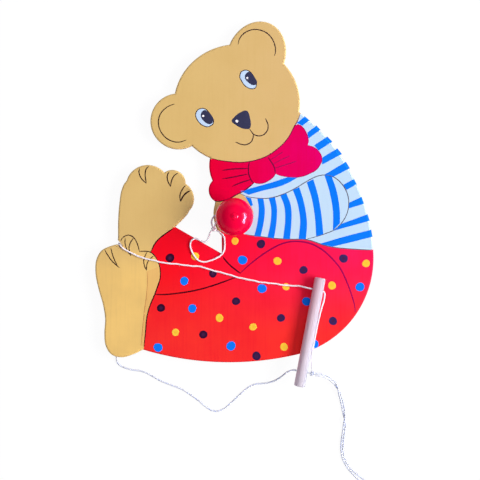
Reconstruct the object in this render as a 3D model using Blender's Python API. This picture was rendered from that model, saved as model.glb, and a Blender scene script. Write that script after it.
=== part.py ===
"""Flat plywood bear with a rocker underside, a turned ball on a pin and a handle on a cord.

The bear lies on its back: +Y is towards its head, +Z is its painted front. The origin is on
the back face, under the axis of the ball's pin. Sizes are in metres; the outline points and
cord routes, which are drawn by hand, are in millimetres and pass through MM.
"""

import math

import bmesh
import bpy
import numpy as np
from mathutils import Matrix, Vector
from mathutils.geometry import delaunay_2d_cdt

MM = 0.001

# Gaps: between pieces that lie on each other, and round the pin that the ball turns on
SEAT_GAP = 0.0003
RUNNING_GAP = 0.0003

# Board, sawn from one sheet of plywood and rounded over along both rims
BOARD_THICKNESS = 0.009
EDGE_RADIUS = 0.0015
EDGE_SEGMENTS = 2
OUTLINE_STEP = 0.0038
SHORTEST_EDGE = 0.0008

# Head and ears, each an ellipse; an ear's reach is from the head's middle to its own
HEAD_X = 0.0021
HEAD_Y = 0.1035
HEAD_LENGTH = 0.1148
HEAD_WIDTH = 0.1081
HEAD_TILT = math.radians(6.6)
LEFT_EAR_ANGLE = math.radians(196.7)
LEFT_EAR_REACH = 0.0557
LEFT_EAR_LENGTH = 0.0506
LEFT_EAR_WIDTH = 0.0506
RIGHT_EAR_ANGLE = math.radians(68)
RIGHT_EAR_REACH = 0.0470
RIGHT_EAR_LENGTH = 0.0640
RIGHT_EAR_WIDTH = 0.0526

# Trunk: the back, the haunch and the rocker are three arcs that run into each other
HAUNCH_X = 0.0365
HAUNCH_Y = -0.0372
HAUNCH_RADIUS = 0.0901
BACK_RADIUS = 0.1739
BACK_MEETS_HAUNCH = math.radians(3.4)
BACK_TOP = math.radians(58)
ROCKER_RADIUS = 0.2727
ROCKER_MEETS_HAUNCH = math.radians(-76.9)
ROCKER_END = math.radians(-109)

# Raised leg: its upper edge, and the sharp gap between it and the trunk
KNEE = (-54.1, -8.8)
GAP_CORNER = (-11.4, -33.4)
GAP_TOP = (-11.8, -17.0)

# Paw round the ball, and the two lobes of the bow that stand out from the trunk
PAW_X = 0.0009
PAW_Y = 0.0030
PAW_WIDTH = 0.0400
PAW_LENGTH = 0.0510
UPPER_LOBE_X = 0.0098
UPPER_LOBE_Y = 0.0471
UPPER_LOBE_RADIUS = 0.0328
LOWER_LOBE_X = -0.0114
LOWER_LOBE_Y = 0.0248
LOWER_LOBE_RADIUS = 0.0121

# Feet: soles as curves through a few points, toes as circles (x, y, radius)
LOWER_SOLE = [
    (-76, -113), (-82.5, -119.8), (-91.5, -124.4), (-102.4, -127.5), (-112, -125),
    (-117.3, -117), (-118.5, -106), (-117.8, -92.5), (-119.7, -79.8), (-123.8, -65.2),
    (-126.5, -51.6), (-126, -39.3), (-121.5, -30.7), (-113.3, -26.4), (-105, -24.6),
    (-92, -27), (-74, -40), (-70, -55), (-77, -85),
]
UPPER_SOLE = [
    (-105.7, -26), (-106, -17), (-106, -4.3), (-104.9, 12.1), (-102.4, 26.2), (-98, 33),
    (-75, 36), (-54, 30), (-44, 15), (-41.2, 6.5), (-46, -0.5), (-54.5, -9), (-66, -24),
    (-86, -38),
]
TOES = [(-79.1, 27.6, 20.0), (-56.7, 31.0, 12.1), (-53.0, 16.9, 16.0)]

# Ball, bored through, and the pin that carries it, glued into a blind hole in the board
BALL_DIAMETER = 0.034
PIN_DIAMETER = 0.004
PIN_HOLE_FLOOR = 0.0022
PIN_HEAD_DIAMETER = 0.0068
PIN_HEAD_HEIGHT = 0.0011
PIN_NUB_DIAMETER = 0.0034
PIN_NUB_HEIGHT = 0.0007
HEAD_SEAT_DEPTH = 0.0012
HEAD_SEAT_ROOM = 0.0004

# Handle, a dowel with two cross holes, lying on the board and past its lower edge
HANDLE_LENGTH = 0.100
HANDLE_DIAMETER = 0.010
HANDLE_CHAMFER = 0.0008
HANDLE_X = 0.0682
HANDLE_Y = -0.1041
HANDLE_TURN = math.radians(-10.95)
TOP_HOLE_INSET = 0.0112
LOW_HOLE_INSET = 0.0136

# Cord, its knots, and the room that it has in the cross holes, the slot and the groove
CORD_DIAMETER = 0.0021
KNOT_DIAMETER = 0.0046
KNOT_LENGTH = 0.0054
CROSS_HOLE_ROOM = 0.00065
SLOT_ROOM = 0.0005
GROOVE_ROOM = 0.0004
CORD_STEP = 0.0030
FINE_STEP = 0.0020

# Slot through the board between the feet, where the cord comes round from the back
SLOT_END = (-102.6, -27.2)
SLOT_HEADING = math.radians(131.3)
SLOT_REACH = 0.012

# Small loop of cord hung on the ball's pin
LOOP_KNOT = (-19.0, -10.5)
LOOP_KNOT_HEADING = (0.3, 1.0, 0.0)

# Coil of the put-away end, wound in and out again in two layers, and its tie
COIL_START = (121.5, -252.0)
COIL_HEADING = math.radians(-65.2)
COIL_TURNS = 3
COIL_INNER_RADIUS = 0.0096
COIL_ROOM = 0.0005
COIL_END = 0.019
LOOP_POINTS = 24
TIE_THICKNESS = 0.0009
TIE_WIDTH = 0.0030
TIE_TURN = 0.25

# Sizes and heights that follow from these
CORD_RADIUS = CORD_DIAMETER / 2
LEAST_BEND = 2 * CORD_DIAMETER
CROSS_HOLE_RADIUS = CORD_RADIUS + CROSS_HOLE_ROOM
SLOT_WIDTH = CORD_DIAMETER + 2 * SLOT_ROOM
GROOVE_WIDTH = CORD_DIAMETER + 2 * GROOVE_ROOM
GROOVE_DEPTH = CORD_DIAMETER + 2 * SEAT_GAP
COIL_PITCH = CORD_DIAMETER + COIL_ROOM
ON_FLOOR = CORD_RADIUS + 0.5 * SEAT_GAP
ON_BOARD = BOARD_THICKNESS + SEAT_GAP + CORD_RADIUS
IN_GROOVE = SEAT_GAP + CORD_RADIUS
HANDLE_RADIUS = HANDLE_DIAMETER / 2
HANDLE_Z = BOARD_THICKNESS + SEAT_GAP + HANDLE_RADIUS
BALL_RADIUS = BALL_DIAMETER / 2
BALL_BACK = ON_BOARD + CORD_RADIUS + SEAT_GAP
BALL_Z = BALL_BACK + BALL_RADIUS
TOP_HOLE_Y = HANDLE_LENGTH / 2 - TOP_HOLE_INSET
LOW_HOLE_Y = LOW_HOLE_INSET - HANDLE_LENGTH / 2
HANDLE_KNOT_X = HANDLE_RADIUS + CORD_DIAMETER + KNOT_LENGTH / 2
LOOP_KNOT_Z = BOARD_THICKNESS + SEAT_GAP + KNOT_DIAMETER / 2
KNOT_ON_FLOOR = KNOT_DIAMETER / 2 + 0.5 * SEAT_GAP
COIL_LOW = 0.5 * SEAT_GAP + TIE_THICKNESS + SEAT_GAP + CORD_RADIUS


def clear_scene():
    for item in list(bpy.data.objects):
        bpy.data.objects.remove(item, do_unlink=True)


def finish(name, colour, roughness):
    """A Principled material named for its piece."""
    material = bpy.data.materials.new(name)
    material.use_nodes = True
    shader = material.node_tree.nodes["Principled BSDF"]
    shader.inputs["Base Color"].default_value = (*colour, 1.0)
    shader.inputs["Roughness"].default_value = roughness
    shader.inputs["Metallic"].default_value = 0.0
    return material


def place(name, data, material=None, parent=None):
    """A new object in the scene, under its parent's frame if it has one."""
    piece = bpy.data.objects.new(name, data)
    bpy.context.collection.objects.link(piece)
    piece.parent = parent
    if material:
        data.materials.append(material)
    return piece


def mesh_from(bm, name):
    """A finished mesh with its faces outwards, smooth except along sharp edges."""
    bmesh.ops.recalc_face_normals(bm, faces=bm.faces)
    mesh = bpy.data.meshes.new(name)
    bm.to_mesh(mesh)
    bm.free()
    mesh.shade_smooth()
    mesh.set_sharp_from_angle(angle=math.radians(35))
    return mesh


def cut(piece, cutter):
    """Take the cutter's shape out of the piece."""
    cutter.hide_render = True
    cutter.display_type = "WIRE"
    boolean = piece.modifiers.new(cutter.name, "BOOLEAN")
    boolean.operation = "DIFFERENCE"
    boolean.object = cutter


def turned(name, profile, segments):
    """A solid turned about Z from a profile of (radius, height) points."""
    bm = bmesh.new()
    ring = [bm.verts.new((r, 0.0, z)) for r, z in profile]
    on_axis = profile[0][0] == 0.0 and profile[-1][0] == 0.0
    pairs = list(zip(ring, ring[1:])) + ([] if on_axis else [(ring[-1], ring[0])])
    edges = [bm.edges.new(pair) for pair in pairs]
    bmesh.ops.spin(
        bm, geom=ring + edges, cent=(0, 0, 0), axis=(0, 0, 1),
        angle=2 * math.pi, steps=segments,
    )
    bmesh.ops.remove_doubles(bm, verts=bm.verts, dist=1e-6)
    return mesh_from(bm, name)


def prism(name, outline, low, high):
    """A solid between two heights with this plan."""
    bm = bmesh.new()
    base = bm.faces.new([bm.verts.new((x, y, low)) for x, y in outline])
    lifted = bmesh.ops.extrude_face_region(bm, geom=[base])["geom"]
    top = [v for v in lifted if isinstance(v, bmesh.types.BMVert)]
    bmesh.ops.translate(bm, verts=top, vec=(0, 0, high - low))
    return mesh_from(bm, name)


def ellipse(x, y, length, width, turn):
    """A ring of points, its length along the direction of turn."""
    count = max(24, round(math.pi * (length + width) / 2 / OUTLINE_STEP))
    a = np.arange(count) * 2 * math.pi / count
    u, v = length / 2 * np.cos(a), width / 2 * np.sin(a)
    c, s = math.cos(turn), math.sin(turn)
    return np.stack([x + u * c - v * s, y + u * s + v * c], axis=1)


def arc(x, y, radius, start, end):
    """Points along an arc, from one direction to another."""
    count = max(2, round(abs(end - start) * radius / OUTLINE_STEP) + 1)
    a = np.linspace(start, end, count)
    return np.stack([x + radius * np.cos(a), y + radius * np.sin(a)], axis=1)


def smooth(points, step, closed=False):
    """Points a step apart on a smooth curve through the given points.

    Between two points the curve is a cubic whose end slopes follow the chords on either
    side, weighted by the square root of their lengths, so that it has no loops.
    """
    p = np.array(points, float)
    if closed:
        p = np.vstack([p[-1], p, p[0], p[1]])
    else:
        p = np.vstack([2 * p[0] - p[1], p, 2 * p[-1] - p[-2]])
    k = np.sqrt(np.linalg.norm(np.diff(p, axis=0), axis=1))[:, None]
    chord = np.diff(p, axis=0) / k
    slope = (chord[:-1] * k[1:] + chord[1:] * k[:-1]) / (k[:-1] + k[1:])
    t = np.linspace(0, 1, 40, endpoint=False)[:, None]
    curve = [
        a * (1 + 2 * t) * (1 - t) ** 2 + b * t**2 * (3 - 2 * t)
        + h * (m * t * (1 - t) ** 2 - n * t**2 * (1 - t))
        for a, b, h, m, n in zip(p[1:-2], p[2:-1], k[1:-1], slope, slope[1:])
    ]
    curve = np.vstack(curve + [p[-2:-1]])
    along = np.concatenate([[0], np.cumsum(np.linalg.norm(np.diff(curve, axis=0), axis=1))])
    count = max(2, round(along[-1] / step) + 1)
    at = np.linspace(0, along[-1], count)
    even = np.stack([np.interp(at, along, axis) for axis in curve.T], axis=1)
    return even[:-1] if closed else even


def trunk_outline():
    """Back, haunch and rocker arcs, closed through points that other shapes cover."""
    haunch = np.array([HAUNCH_X, HAUNCH_Y])

    def middle(radius, meeting):
        return haunch - (radius - HAUNCH_RADIUS) * np.array([math.cos(meeting), math.sin(meeting)])

    back = arc(*middle(BACK_RADIUS, BACK_MEETS_HAUNCH), BACK_RADIUS, BACK_TOP, BACK_MEETS_HAUNCH)
    seat = arc(*haunch, HAUNCH_RADIUS, BACK_MEETS_HAUNCH, ROCKER_MEETS_HAUNCH)
    rocker = arc(
        *middle(ROCKER_RADIUS, ROCKER_MEETS_HAUNCH), ROCKER_RADIUS, ROCKER_MEETS_HAUNCH, ROCKER_END
    )
    in_lower_foot = LOWER_SOLE[-1]
    in_upper_foot = (TOES[0][0], KNEE[1])
    leg = np.array([in_lower_foot, in_upper_foot, KNEE, GAP_CORNER, GAP_TOP]) * MM
    inside = [(PAW_X, PAW_Y), (UPPER_LOBE_X, UPPER_LOBE_Y), (HEAD_X, HEAD_Y)]
    return np.vstack([back, seat[1:], rocker[1:], leg, inside])


def ear(angle, reach, length, width):
    x = HEAD_X + reach * math.cos(angle)
    y = HEAD_Y + reach * math.sin(angle)
    return ellipse(x, y, length, width, angle)


def around(shapes):
    """One ring of points round all the shapes, which overlap."""
    points = [Vector(p) for shape in shapes for p in shape]
    ends = np.cumsum([len(shape) for shape in shapes])
    loops = [list(range(end - len(shape), end)) for shape, end in zip(shapes, ends)]
    found, _, triangles, *_ = delaunay_2d_cdt(points, [], loops, 1, 1e-7)
    sides = {pair for t in triangles for pair in zip(t, t[1:] + t[:1])}
    after = {a: b for a, b in sides if (b, a) not in sides}
    at = max(after, key=lambda i: found[i].x)
    ring = []
    while at in after:
        point = np.array(found[at])
        if not ring or np.linalg.norm(point - ring[-1]) > SHORTEST_EDGE:
            ring.append(point)
        at = after.pop(at)
    return ring


def bear_outline():
    """The sawn outline: head, ears, trunk, paw, bow and feet run together."""
    lower = smooth(np.array(LOWER_SOLE) * MM, OUTLINE_STEP, closed=True)
    upper = smooth(np.array(UPPER_SOLE) * MM, OUTLINE_STEP, closed=True)
    toes = [ellipse(x * MM, y * MM, 2 * r * MM, 2 * r * MM, 0) for x, y, r in TOES]
    return around([
        ellipse(HEAD_X, HEAD_Y, HEAD_LENGTH, HEAD_WIDTH, HEAD_TILT),
        ear(LEFT_EAR_ANGLE, LEFT_EAR_REACH, LEFT_EAR_LENGTH, LEFT_EAR_WIDTH),
        ear(RIGHT_EAR_ANGLE, RIGHT_EAR_REACH, RIGHT_EAR_LENGTH, RIGHT_EAR_WIDTH),
        trunk_outline(),
        ellipse(PAW_X, PAW_Y, PAW_WIDTH, PAW_LENGTH, 0),
        ellipse(UPPER_LOBE_X, UPPER_LOBE_Y, 2 * UPPER_LOBE_RADIUS, 2 * UPPER_LOBE_RADIUS, 0),
        ellipse(LOWER_LOBE_X, LOWER_LOBE_Y, 2 * LOWER_LOBE_RADIUS, 2 * LOWER_LOBE_RADIUS, 0),
        lower, upper, *toes,
    ])


def strip(route, width):
    """The plan of a cut of this width along a route."""
    way = np.gradient(route, axis=0)
    way /= np.linalg.norm(way, axis=1)[:, None]
    side = np.stack([-way[:, 1], way[:, 0]], axis=1) * width / 2
    return np.vstack([route + side, (route - side)[::-1]])


def heading(angle):
    return np.array([math.cos(angle), math.sin(angle)])


def groove_route():
    """Plan of the cord behind the lower foot, from the slot to the foot's lower edge."""
    by_hand = [
        (-100.5, -29.6), (-98.2, -33.4), (-97.4, -40), (-98.2, -52), (-100.6, -68), (-103.4, -86),
        (-106, -104), (-107.7, -118), (-108.2, -128),
    ]
    return np.array([SLOT_END] + by_hand) * MM


def bear_board():
    """Board with rounded rims, a blind hole for the pin, and the cord's slot and groove."""
    mesh = prism("bear_board", bear_outline(), 0.0, BOARD_THICKNESS)
    rims = mesh.attributes.new("bevel_weight_edge", "FLOAT", "EDGE")
    heights = [[mesh.vertices[i].co.z for i in edge.vertices] for edge in mesh.edges]
    rims.data.foreach_set("value", [1.0 if low == high else 0.0 for low, high in heights])
    board = place("bear_board", mesh, finish("bear_board", (0.73, 0.49, 0.20), 0.55))
    bevel = board.modifiers.new("rounded_rims", "BEVEL")
    bevel.limit_method = "WEIGHT"
    bevel.width = EDGE_RADIUS
    bevel.segments = EDGE_SEGMENTS
    bevel.use_clamp_overlap = False

    over = 2 * BOARD_THICKNESS
    hole_radius = PIN_DIAMETER / 2 + SEAT_GAP
    hole = [(0.0, PIN_HOLE_FLOOR), (hole_radius, PIN_HOLE_FLOOR), (hole_radius, over), (0.0, over)]
    cut(board, place("pin_hole_cutter", turned("pin_hole_cutter", hole, 24)))

    way = heading(SLOT_HEADING)
    middle = np.array(SLOT_END) * MM + (SLOT_WIDTH / 2 - SEAT_GAP) * way
    bend = SLOT_HEADING + math.pi / 2 + np.linspace(0, math.pi, 9)
    inner_end = middle + SLOT_WIDTH / 2 * np.stack([np.cos(bend), np.sin(bend)], axis=1)
    outer_end = inner_end[[0, -1]] + SLOT_REACH * way
    slot = np.vstack([outer_end[:1], inner_end, outer_end[1:]])
    cut(board, place("slot_cutter", prism("slot_cutter", slot, -over, over)))

    route = smooth(groove_route(), CORD_STEP)
    past_edge = 2 * route[-1] - route[-2]
    groove = strip(np.vstack([route, past_edge]), GROOVE_WIDTH)
    cut(board, place("groove_cutter", prism("groove_cutter", groove, -GROOVE_DEPTH, GROOVE_DEPTH)))
    return board


def ball():
    """Turned ball, bored through for the pin, with a seat for the pin's head in front."""
    bore = PIN_DIAMETER / 2 + RUNNING_GAP
    seat = PIN_HEAD_DIAMETER / 2 + HEAD_SEAT_ROOM
    low = -math.acos(bore / BALL_RADIUS)
    high = math.acos(seat / BALL_RADIUS)
    skin = [(BALL_RADIUS * math.cos(a), BALL_RADIUS * math.sin(a)) for a in np.linspace(low, high, 19)]
    floor = BALL_RADIUS - HEAD_SEAT_DEPTH
    profile = skin + [(seat, floor), (bore, floor)]
    piece = place("ball", turned("ball", profile, 36), finish("ball", (0.75, 0.01, 0.03), 0.2))
    piece.location = (0, 0, BALL_Z)
    return piece


def ball_pin():
    """Pin from the bottom of its hole to a low domed head with a nub in the ball's front."""
    radius = PIN_DIAMETER / 2
    head = PIN_HEAD_DIAMETER / 2
    nub = PIN_NUB_DIAMETER / 2
    foot = PIN_HOLE_FLOOR + SEAT_GAP
    seat = BALL_Z + BALL_RADIUS - HEAD_SEAT_DEPTH + RUNNING_GAP
    brim = seat + 0.4 * PIN_HEAD_HEIGHT
    crown = seat + PIN_HEAD_HEIGHT
    tip = crown + PIN_NUB_HEIGHT
    profile = [
        (0.0, foot), (radius, foot), (radius, seat), (head, seat), (head, brim),
        (0.85 * head, seat + 0.8 * PIN_HEAD_HEIGHT), (nub, crown),
        (0.9 * nub, crown + 0.6 * PIN_NUB_HEIGHT), (0.6 * nub, tip), (0.0, tip),
    ]
    return place("ball_pin", turned("ball_pin", profile, 24), finish("ball_pin", (0.7, 0.01, 0.03), 0.3))


def handle_frame():
    """Frame of the handle: +Y along the dowel to its upper end, origin at its middle."""
    frame = place("handle_frame", None)
    frame.location = (HANDLE_X, HANDLE_Y, HANDLE_Z)
    frame.rotation_euler = (0, 0, HANDLE_TURN)
    return frame


def from_handle(x, y, z):
    turn = Matrix.Rotation(HANDLE_TURN, 3, "Z")
    return Vector((HANDLE_X, HANDLE_Y, HANDLE_Z)) + turn @ Vector((x, y, z))


def handle_dowel(frame):
    """Dowel with chamfered ends and two cross holes side to side."""
    half = HANDLE_LENGTH / 2
    rim = HANDLE_RADIUS - HANDLE_CHAMFER
    profile = [
        (0.0, -half), (rim, -half), (HANDLE_RADIUS, HANDLE_CHAMFER - half),
        (HANDLE_RADIUS, half - HANDLE_CHAMFER), (rim, half), (0.0, half),
    ]
    mesh = turned("handle_dowel", profile, 32)
    mesh.transform(Matrix.Rotation(-math.pi / 2, 4, "X"))
    dowel = place("handle_dowel", mesh, finish("handle_dowel", (0.8, 0.66, 0.56), 0.6), frame)
    for name, y in (("top_hole_cutter", TOP_HOLE_Y), ("low_hole_cutter", LOW_HOLE_Y)):
        hole = [(0.0, -HANDLE_DIAMETER), (CROSS_HOLE_RADIUS, -HANDLE_DIAMETER),
                (CROSS_HOLE_RADIUS, HANDLE_DIAMETER), (0.0, HANDLE_DIAMETER)]
        cutter_mesh = turned(name, hole, 20)
        cutter_mesh.transform(Matrix.Rotation(math.pi / 2, 4, "Y"))
        cutter = place(name, cutter_mesh, None, frame)
        cutter.location = (0, y, 0)
        cut(dowel, cutter)
    return dowel


def cord(name, points, parent=None, resolution=2):
    """A stretch of cord: a round tube along the points, closed at both ends."""
    curve = bpy.data.curves.new(name, "CURVE")
    curve.dimensions = "3D"
    curve.resolution_u = 1
    curve.bevel_depth = CORD_RADIUS
    curve.bevel_resolution = resolution
    curve.use_fill_caps = True
    spline = curve.splines.new("POLY")
    spline.points.add(len(points) - 1)
    spline.points.foreach_set("co", np.column_stack([points, np.ones(len(points))]).ravel())
    return place(name, curve, finish(name, (0.86, 0.85, 0.88), 0.85), parent)


def knot(name, centre, way, parent=None):
    """A tight knot: an egg along the cord's way with two ridges that wind round it."""
    rows, around_count = 9, 18
    v = np.linspace(-1, 1, rows + 2)[1:-1, None]
    u = np.arange(around_count)[None, :] * 2 * math.pi / around_count
    radius = KNOT_DIAMETER / 2 * (1 - v**2) ** 0.4 * (0.93 + 0.07 * np.cos(2 * u + 2.6 * v))
    grid = np.stack([radius * np.cos(u), radius * np.sin(u), v * KNOT_LENGTH / 2 + 0 * u], axis=2)
    bm = bmesh.new()
    rings = [[bm.verts.new(p) for p in row] for row in grid]
    for low, high in zip(rings, rings[1:]):
        for i in range(around_count):
            j = (i + 1) % around_count
            bm.faces.new((low[i], low[j], high[j], high[i]))
    bm.faces.new(rings[0])
    bm.faces.new(rings[-1])
    turn = Vector((0, 0, 1)).rotation_difference(Vector(way))
    bmesh.ops.transform(bm, matrix=Matrix.Translation(centre) @ turn.to_matrix().to_4x4(), verts=bm.verts)
    return place(name, mesh_from(bm, name), finish(name, (0.84, 0.83, 0.86), 0.85), parent)


def with_heights(points, heights):
    """Points drawn in plan, in millimetres, with their heights in metres."""
    return np.column_stack([np.array(points) * MM, heights])


def bend_round_board(share):
    """A point of the half circle that the cord makes through the slot, from front to back."""
    a = math.pi * share
    middle = (ON_BOARD + IN_GROOVE) / 2
    radius = (ON_BOARD - IN_GROOVE) / 2
    x, y = np.array(SLOT_END) * MM + radius * math.sin(a) * heading(SLOT_HEADING)
    return x, y, middle + radius * math.cos(a)


def cord_behind_foot():
    """Cord through the slot and down the groove behind the lower foot."""
    bend = np.array([bend_round_board(share) for share in np.linspace(0, 1, 9)])
    plan = groove_route()[1:]
    groove = np.column_stack([plan, np.full(len(plan), IN_GROOVE)])
    return cord("cord_behind_foot", smooth(np.vstack([bend, groove]), FINE_STEP))


def into_handle(y):
    """The last straight stretch of a cord that goes into a cross hole from the left."""
    mouth = -HANDLE_RADIUS - SEAT_GAP
    return [from_handle(mouth - 1.5 * CORD_DIAMETER, y, 0), from_handle(mouth, y, 0)]


def cord_front():
    """Cord over the front, from the slot to the handle's upper hole."""
    start = np.array(bend_round_board(0)) - (*(SEAT_GAP * heading(SLOT_HEADING)), 0)
    on_board = [
        (-99.5, -29.5), (-95, -32), (-88, -35), (-81.5, -37.5), (-72.5, -39.5), (-63, -41.5),
        (-49.5, -43), (-40.5, -44), (-31.5, -45), (-20.5, -48), (-11.5, -50.5), (-2.5, -53),
        (7, -55.5), (16, -57.5), (25, -59), (32.5, -60), (41.5, -61.2), (50.5, -62),
    ]
    lifted = [(59.5, -62.8), (64.5, -63.7)]
    route = np.vstack([
        start,
        with_heights(on_board, [ON_BOARD] * len(on_board)),
        with_heights(lifted, [ON_BOARD + 0.0013, HANDLE_Z - 0.0008]),
        into_handle(TOP_HOLE_Y),
    ])
    return cord("cord_front", smooth(route, CORD_STEP))


def cord_ground():
    """Cord over the floor, from the lower foot to the handle's lower hole."""
    x, y = groove_route()[-1]
    start = (x, y - SEAT_GAP, IN_GROOVE)
    on_floor = [
        (-107.4, -133), (-104.6, -135.8), (-100.3, -137.9), (-94.2, -139.6), (-86.7, -140.6),
        (-81.1, -142.4), (-74.6, -145.9), (-67.5, -149.9), (-58.5, -153.5), (-48.4, -157.5),
        (-40.3, -162.5), (-32.8, -168.1), (-26.2, -173.6), (-20.7, -176.9), (-15.1, -177.5),
        (-9.1, -175.1), (-2.6, -169.6), (7, -160.5), (13.6, -155.2), (20.1, -152.7),
    ]
    lifted = [(28.2, -152), (36, -149.6), (42.6, -145.2), (48, -140.4)]
    heights = [ON_FLOOR + rise for rise in (0.0004, 0.0028, 0.0072, 0.0118)]
    route = np.vstack([
        start,
        with_heights(on_floor, [ON_FLOOR] * len(on_floor)),
        with_heights(lifted, heights),
        into_handle(LOW_HOLE_Y),
    ])
    return cord("cord_ground", smooth(route, CORD_STEP))


def cord_handle_run(frame):
    """Cord in the upper hole, out on the right and down the dowel's side to the knot."""
    bend = np.linspace(0, math.pi / 2, 6)
    bend_start = HANDLE_RADIUS - 2 * CROSS_HOLE_ROOM
    corner = np.column_stack([
        bend_start + LEAST_BEND * np.sin(bend),
        TOP_HOLE_Y - LEAST_BEND * (1 - np.cos(bend)),
        0 * bend,
    ])
    rest = ON_BOARD - HANDLE_Z
    beside = HANDLE_RADIUS + CORD_RADIUS
    drop = TOP_HOLE_Y - LOW_HOLE_Y
    knot_top = LOW_HOLE_Y + KNOT_DIAMETER / 2 + SEAT_GAP
    side = [
        (beside + 0.0014, TOP_HOLE_Y - 0.12 * drop, 0.25 * rest),
        (beside + 0.0008, TOP_HOLE_Y - 0.20 * drop, 0.60 * rest),
        (beside + 0.0003, TOP_HOLE_Y - 0.32 * drop, 0.92 * rest),
        (beside + 0.0001, TOP_HOLE_Y - 0.46 * drop, rest),
        (beside + 0.0001, TOP_HOLE_Y - 0.60 * drop, rest),
        (beside + 0.0003, TOP_HOLE_Y - 0.74 * drop, 0.85 * rest),
        (beside + 0.0011, TOP_HOLE_Y - 0.86 * drop, 0.40 * rest),
        (HANDLE_KNOT_X - 0.0006, knot_top + CORD_DIAMETER, 0.08 * rest),
        (HANDLE_KNOT_X, knot_top, 0.0),
    ]
    route = np.vstack([[(-HANDLE_RADIUS, TOP_HOLE_Y, 0), (0, TOP_HOLE_Y, 0)], corner, side])
    return cord("cord_handle_run", smooth(route, FINE_STEP), frame)


def cord_low_pass(frame):
    """Cord through the handle's lower hole to the knot."""
    end = HANDLE_KNOT_X - KNOT_LENGTH / 2 - SEAT_GAP
    route = [(-HANDLE_RADIUS, LOW_HOLE_Y, 0), (0, LOW_HOLE_Y, 0), (end, LOW_HOLE_Y, 0)]
    return cord("cord_low_pass", smooth(route, CORD_STEP), frame)


def cord_tail():
    """Cord from the knot down to the floor and away to the coil."""
    clear = HANDLE_KNOT_X + KNOT_LENGTH / 2 + SEAT_GAP
    start = [from_handle(clear, LOW_HOLE_Y, 0), from_handle(clear + 0.0015, LOW_HOLE_Y, 0)]
    falling = [(79, -143.2), (83.5, -145), (87.5, -147.5), (91.2, -151), (94.2, -155.8), (96.5, -162)]
    heights = [HANDLE_Z - fall for fall in (0.0011, 0.0038, 0.0072, 0.0102, 0.0120, 0.0129)]
    on_floor = [
        (98.7, -170.1), (100.2, -177.7), (101, -185.2), (100.7, -193.3), (99.2, -203.3), (98.7, -212.9),
        (100.2, -221), (104, -228.5), (109.3, -234.9), (114.8, -241.1),
    ]
    route = np.vstack([
        start,
        with_heights(falling, heights),
        with_heights(on_floor, [ON_FLOOR] * len(on_floor)),
        with_heights([(118.5, -245.5)], [0.4 * ON_FLOOR + 0.6 * COIL_LOW]),
        coil_start() - SEAT_GAP * coil_way(),
    ])
    return cord("cord_tail", smooth(route, CORD_STEP))


def coil_start():
    return np.array([*(np.array(COIL_START) * MM), COIL_LOW])


def coil_way():
    """Direction in which the cord runs into the coil."""
    return np.array([*heading(COIL_HEADING), 0.0])


def coil_point(turns):
    """Points of the coil: in on the lower layer, up half-way, and out on the upper one."""
    way = coil_way()
    inwards = np.array([way[1], -way[0]])
    start_radius = COIL_INNER_RADIUS + COIL_PITCH * COIL_TURNS / 2
    entry = coil_start() + CORD_DIAMETER * way
    centre = entry[:2] + start_radius * inwards
    first = math.atan2(-inwards[1], -inwards[0])
    from_middle = turns - COIL_TURNS / 2
    radius = COIL_INNER_RADIUS + COIL_PITCH * np.abs(from_middle)
    climb = np.clip(2 * from_middle + 0.5, 0, 1)
    z = COIL_LOW + COIL_PITCH * climb**2 * (3 - 2 * climb)
    a = first - 2 * math.pi * turns
    return np.stack([centre[0] + radius * np.cos(a), centre[1] + radius * np.sin(a), z], axis=-1)


def least_gap(points):
    """Least gap between stretches of a tube that lie more than half a loop apart."""
    along = np.concatenate([[0], np.cumsum(np.linalg.norm(np.diff(points, axis=0), axis=1))])
    apart = np.linalg.norm(points[:, None] - points[None], axis=2)
    apart[np.abs(along[:, None] - along[None]) < math.pi * COIL_INNER_RADIUS] = 1.0
    return apart.min() - CORD_DIAMETER


def cord_coil():
    """The cord's spare length: loops in two layers, then its end, laid down on the floor."""
    way = coil_way()
    turns = np.linspace(0, COIL_TURNS, COIL_TURNS * LOOP_POINTS + 1)
    loops = coil_point(turns)
    last = loops[-1]
    share = np.linspace(0, 1, 7)[1:]
    fall = (last[2] - KNOT_ON_FLOOR) * np.clip(1.5 * share - 0.3, 0, 1) ** 1.5
    out = last + COIL_END * share[:, None] * way - np.outer(fall, (0, 0, 1))
    points = np.vstack([coil_start(), loops, out])
    print(f"cord_coil least gap to itself: {least_gap(points) / MM:.2f} mm")
    return cord("cord_coil", points, resolution=1), points[-1]


def coil_tie():
    """Band round the coil's bundle of turns, a quarter turn past where the cord comes in."""
    here, ahead = coil_point(np.array([TIE_TURN, TIE_TURN + 0.01]))
    strands = coil_point(TIE_TURN + np.arange(COIL_TURNS))
    way = (ahead - here)[:2] / np.linalg.norm((ahead - here)[:2])
    out = np.array([-way[1], way[0]])
    across = (strands - here)[:, :2] @ out
    height = strands[:, 2]

    def band(reach):
        """A rounded rectangle, this far out from the box round the strands' middles."""
        corners = [
            (across.max(), height.max()), (across.min(), height.max()),
            (across.min(), height.min()), (across.max(), height.min()),
        ]
        return [
            (x + reach * math.cos(a), z + reach * math.sin(a))
            for quarter, (x, z) in enumerate(corners)
            for a in (quarter + np.linspace(0, 1, 4)) * math.pi / 2
        ]

    bm = bmesh.new()

    def ring(reach, shift):
        return [bm.verts.new((*(here[:2] + x * out + shift * way), z)) for x, z in band(reach)]

    inside = CORD_RADIUS + SEAT_GAP
    outside = inside + TIE_THICKNESS
    rings = [
        ring(inside, -TIE_WIDTH / 2), ring(outside, -TIE_WIDTH / 2),
        ring(outside, TIE_WIDTH / 2), ring(inside, TIE_WIDTH / 2),
    ]
    for a, b in zip(rings, rings[1:] + rings[:1]):
        for i in range(len(a)):
            bm.faces.new((a[i - 1], a[i], b[i], b[i - 1]))
    return place("coil_tie", mesh_from(bm, "coil_tie"), finish("coil_tie", (0.86, 0.85, 0.88), 0.85))


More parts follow.
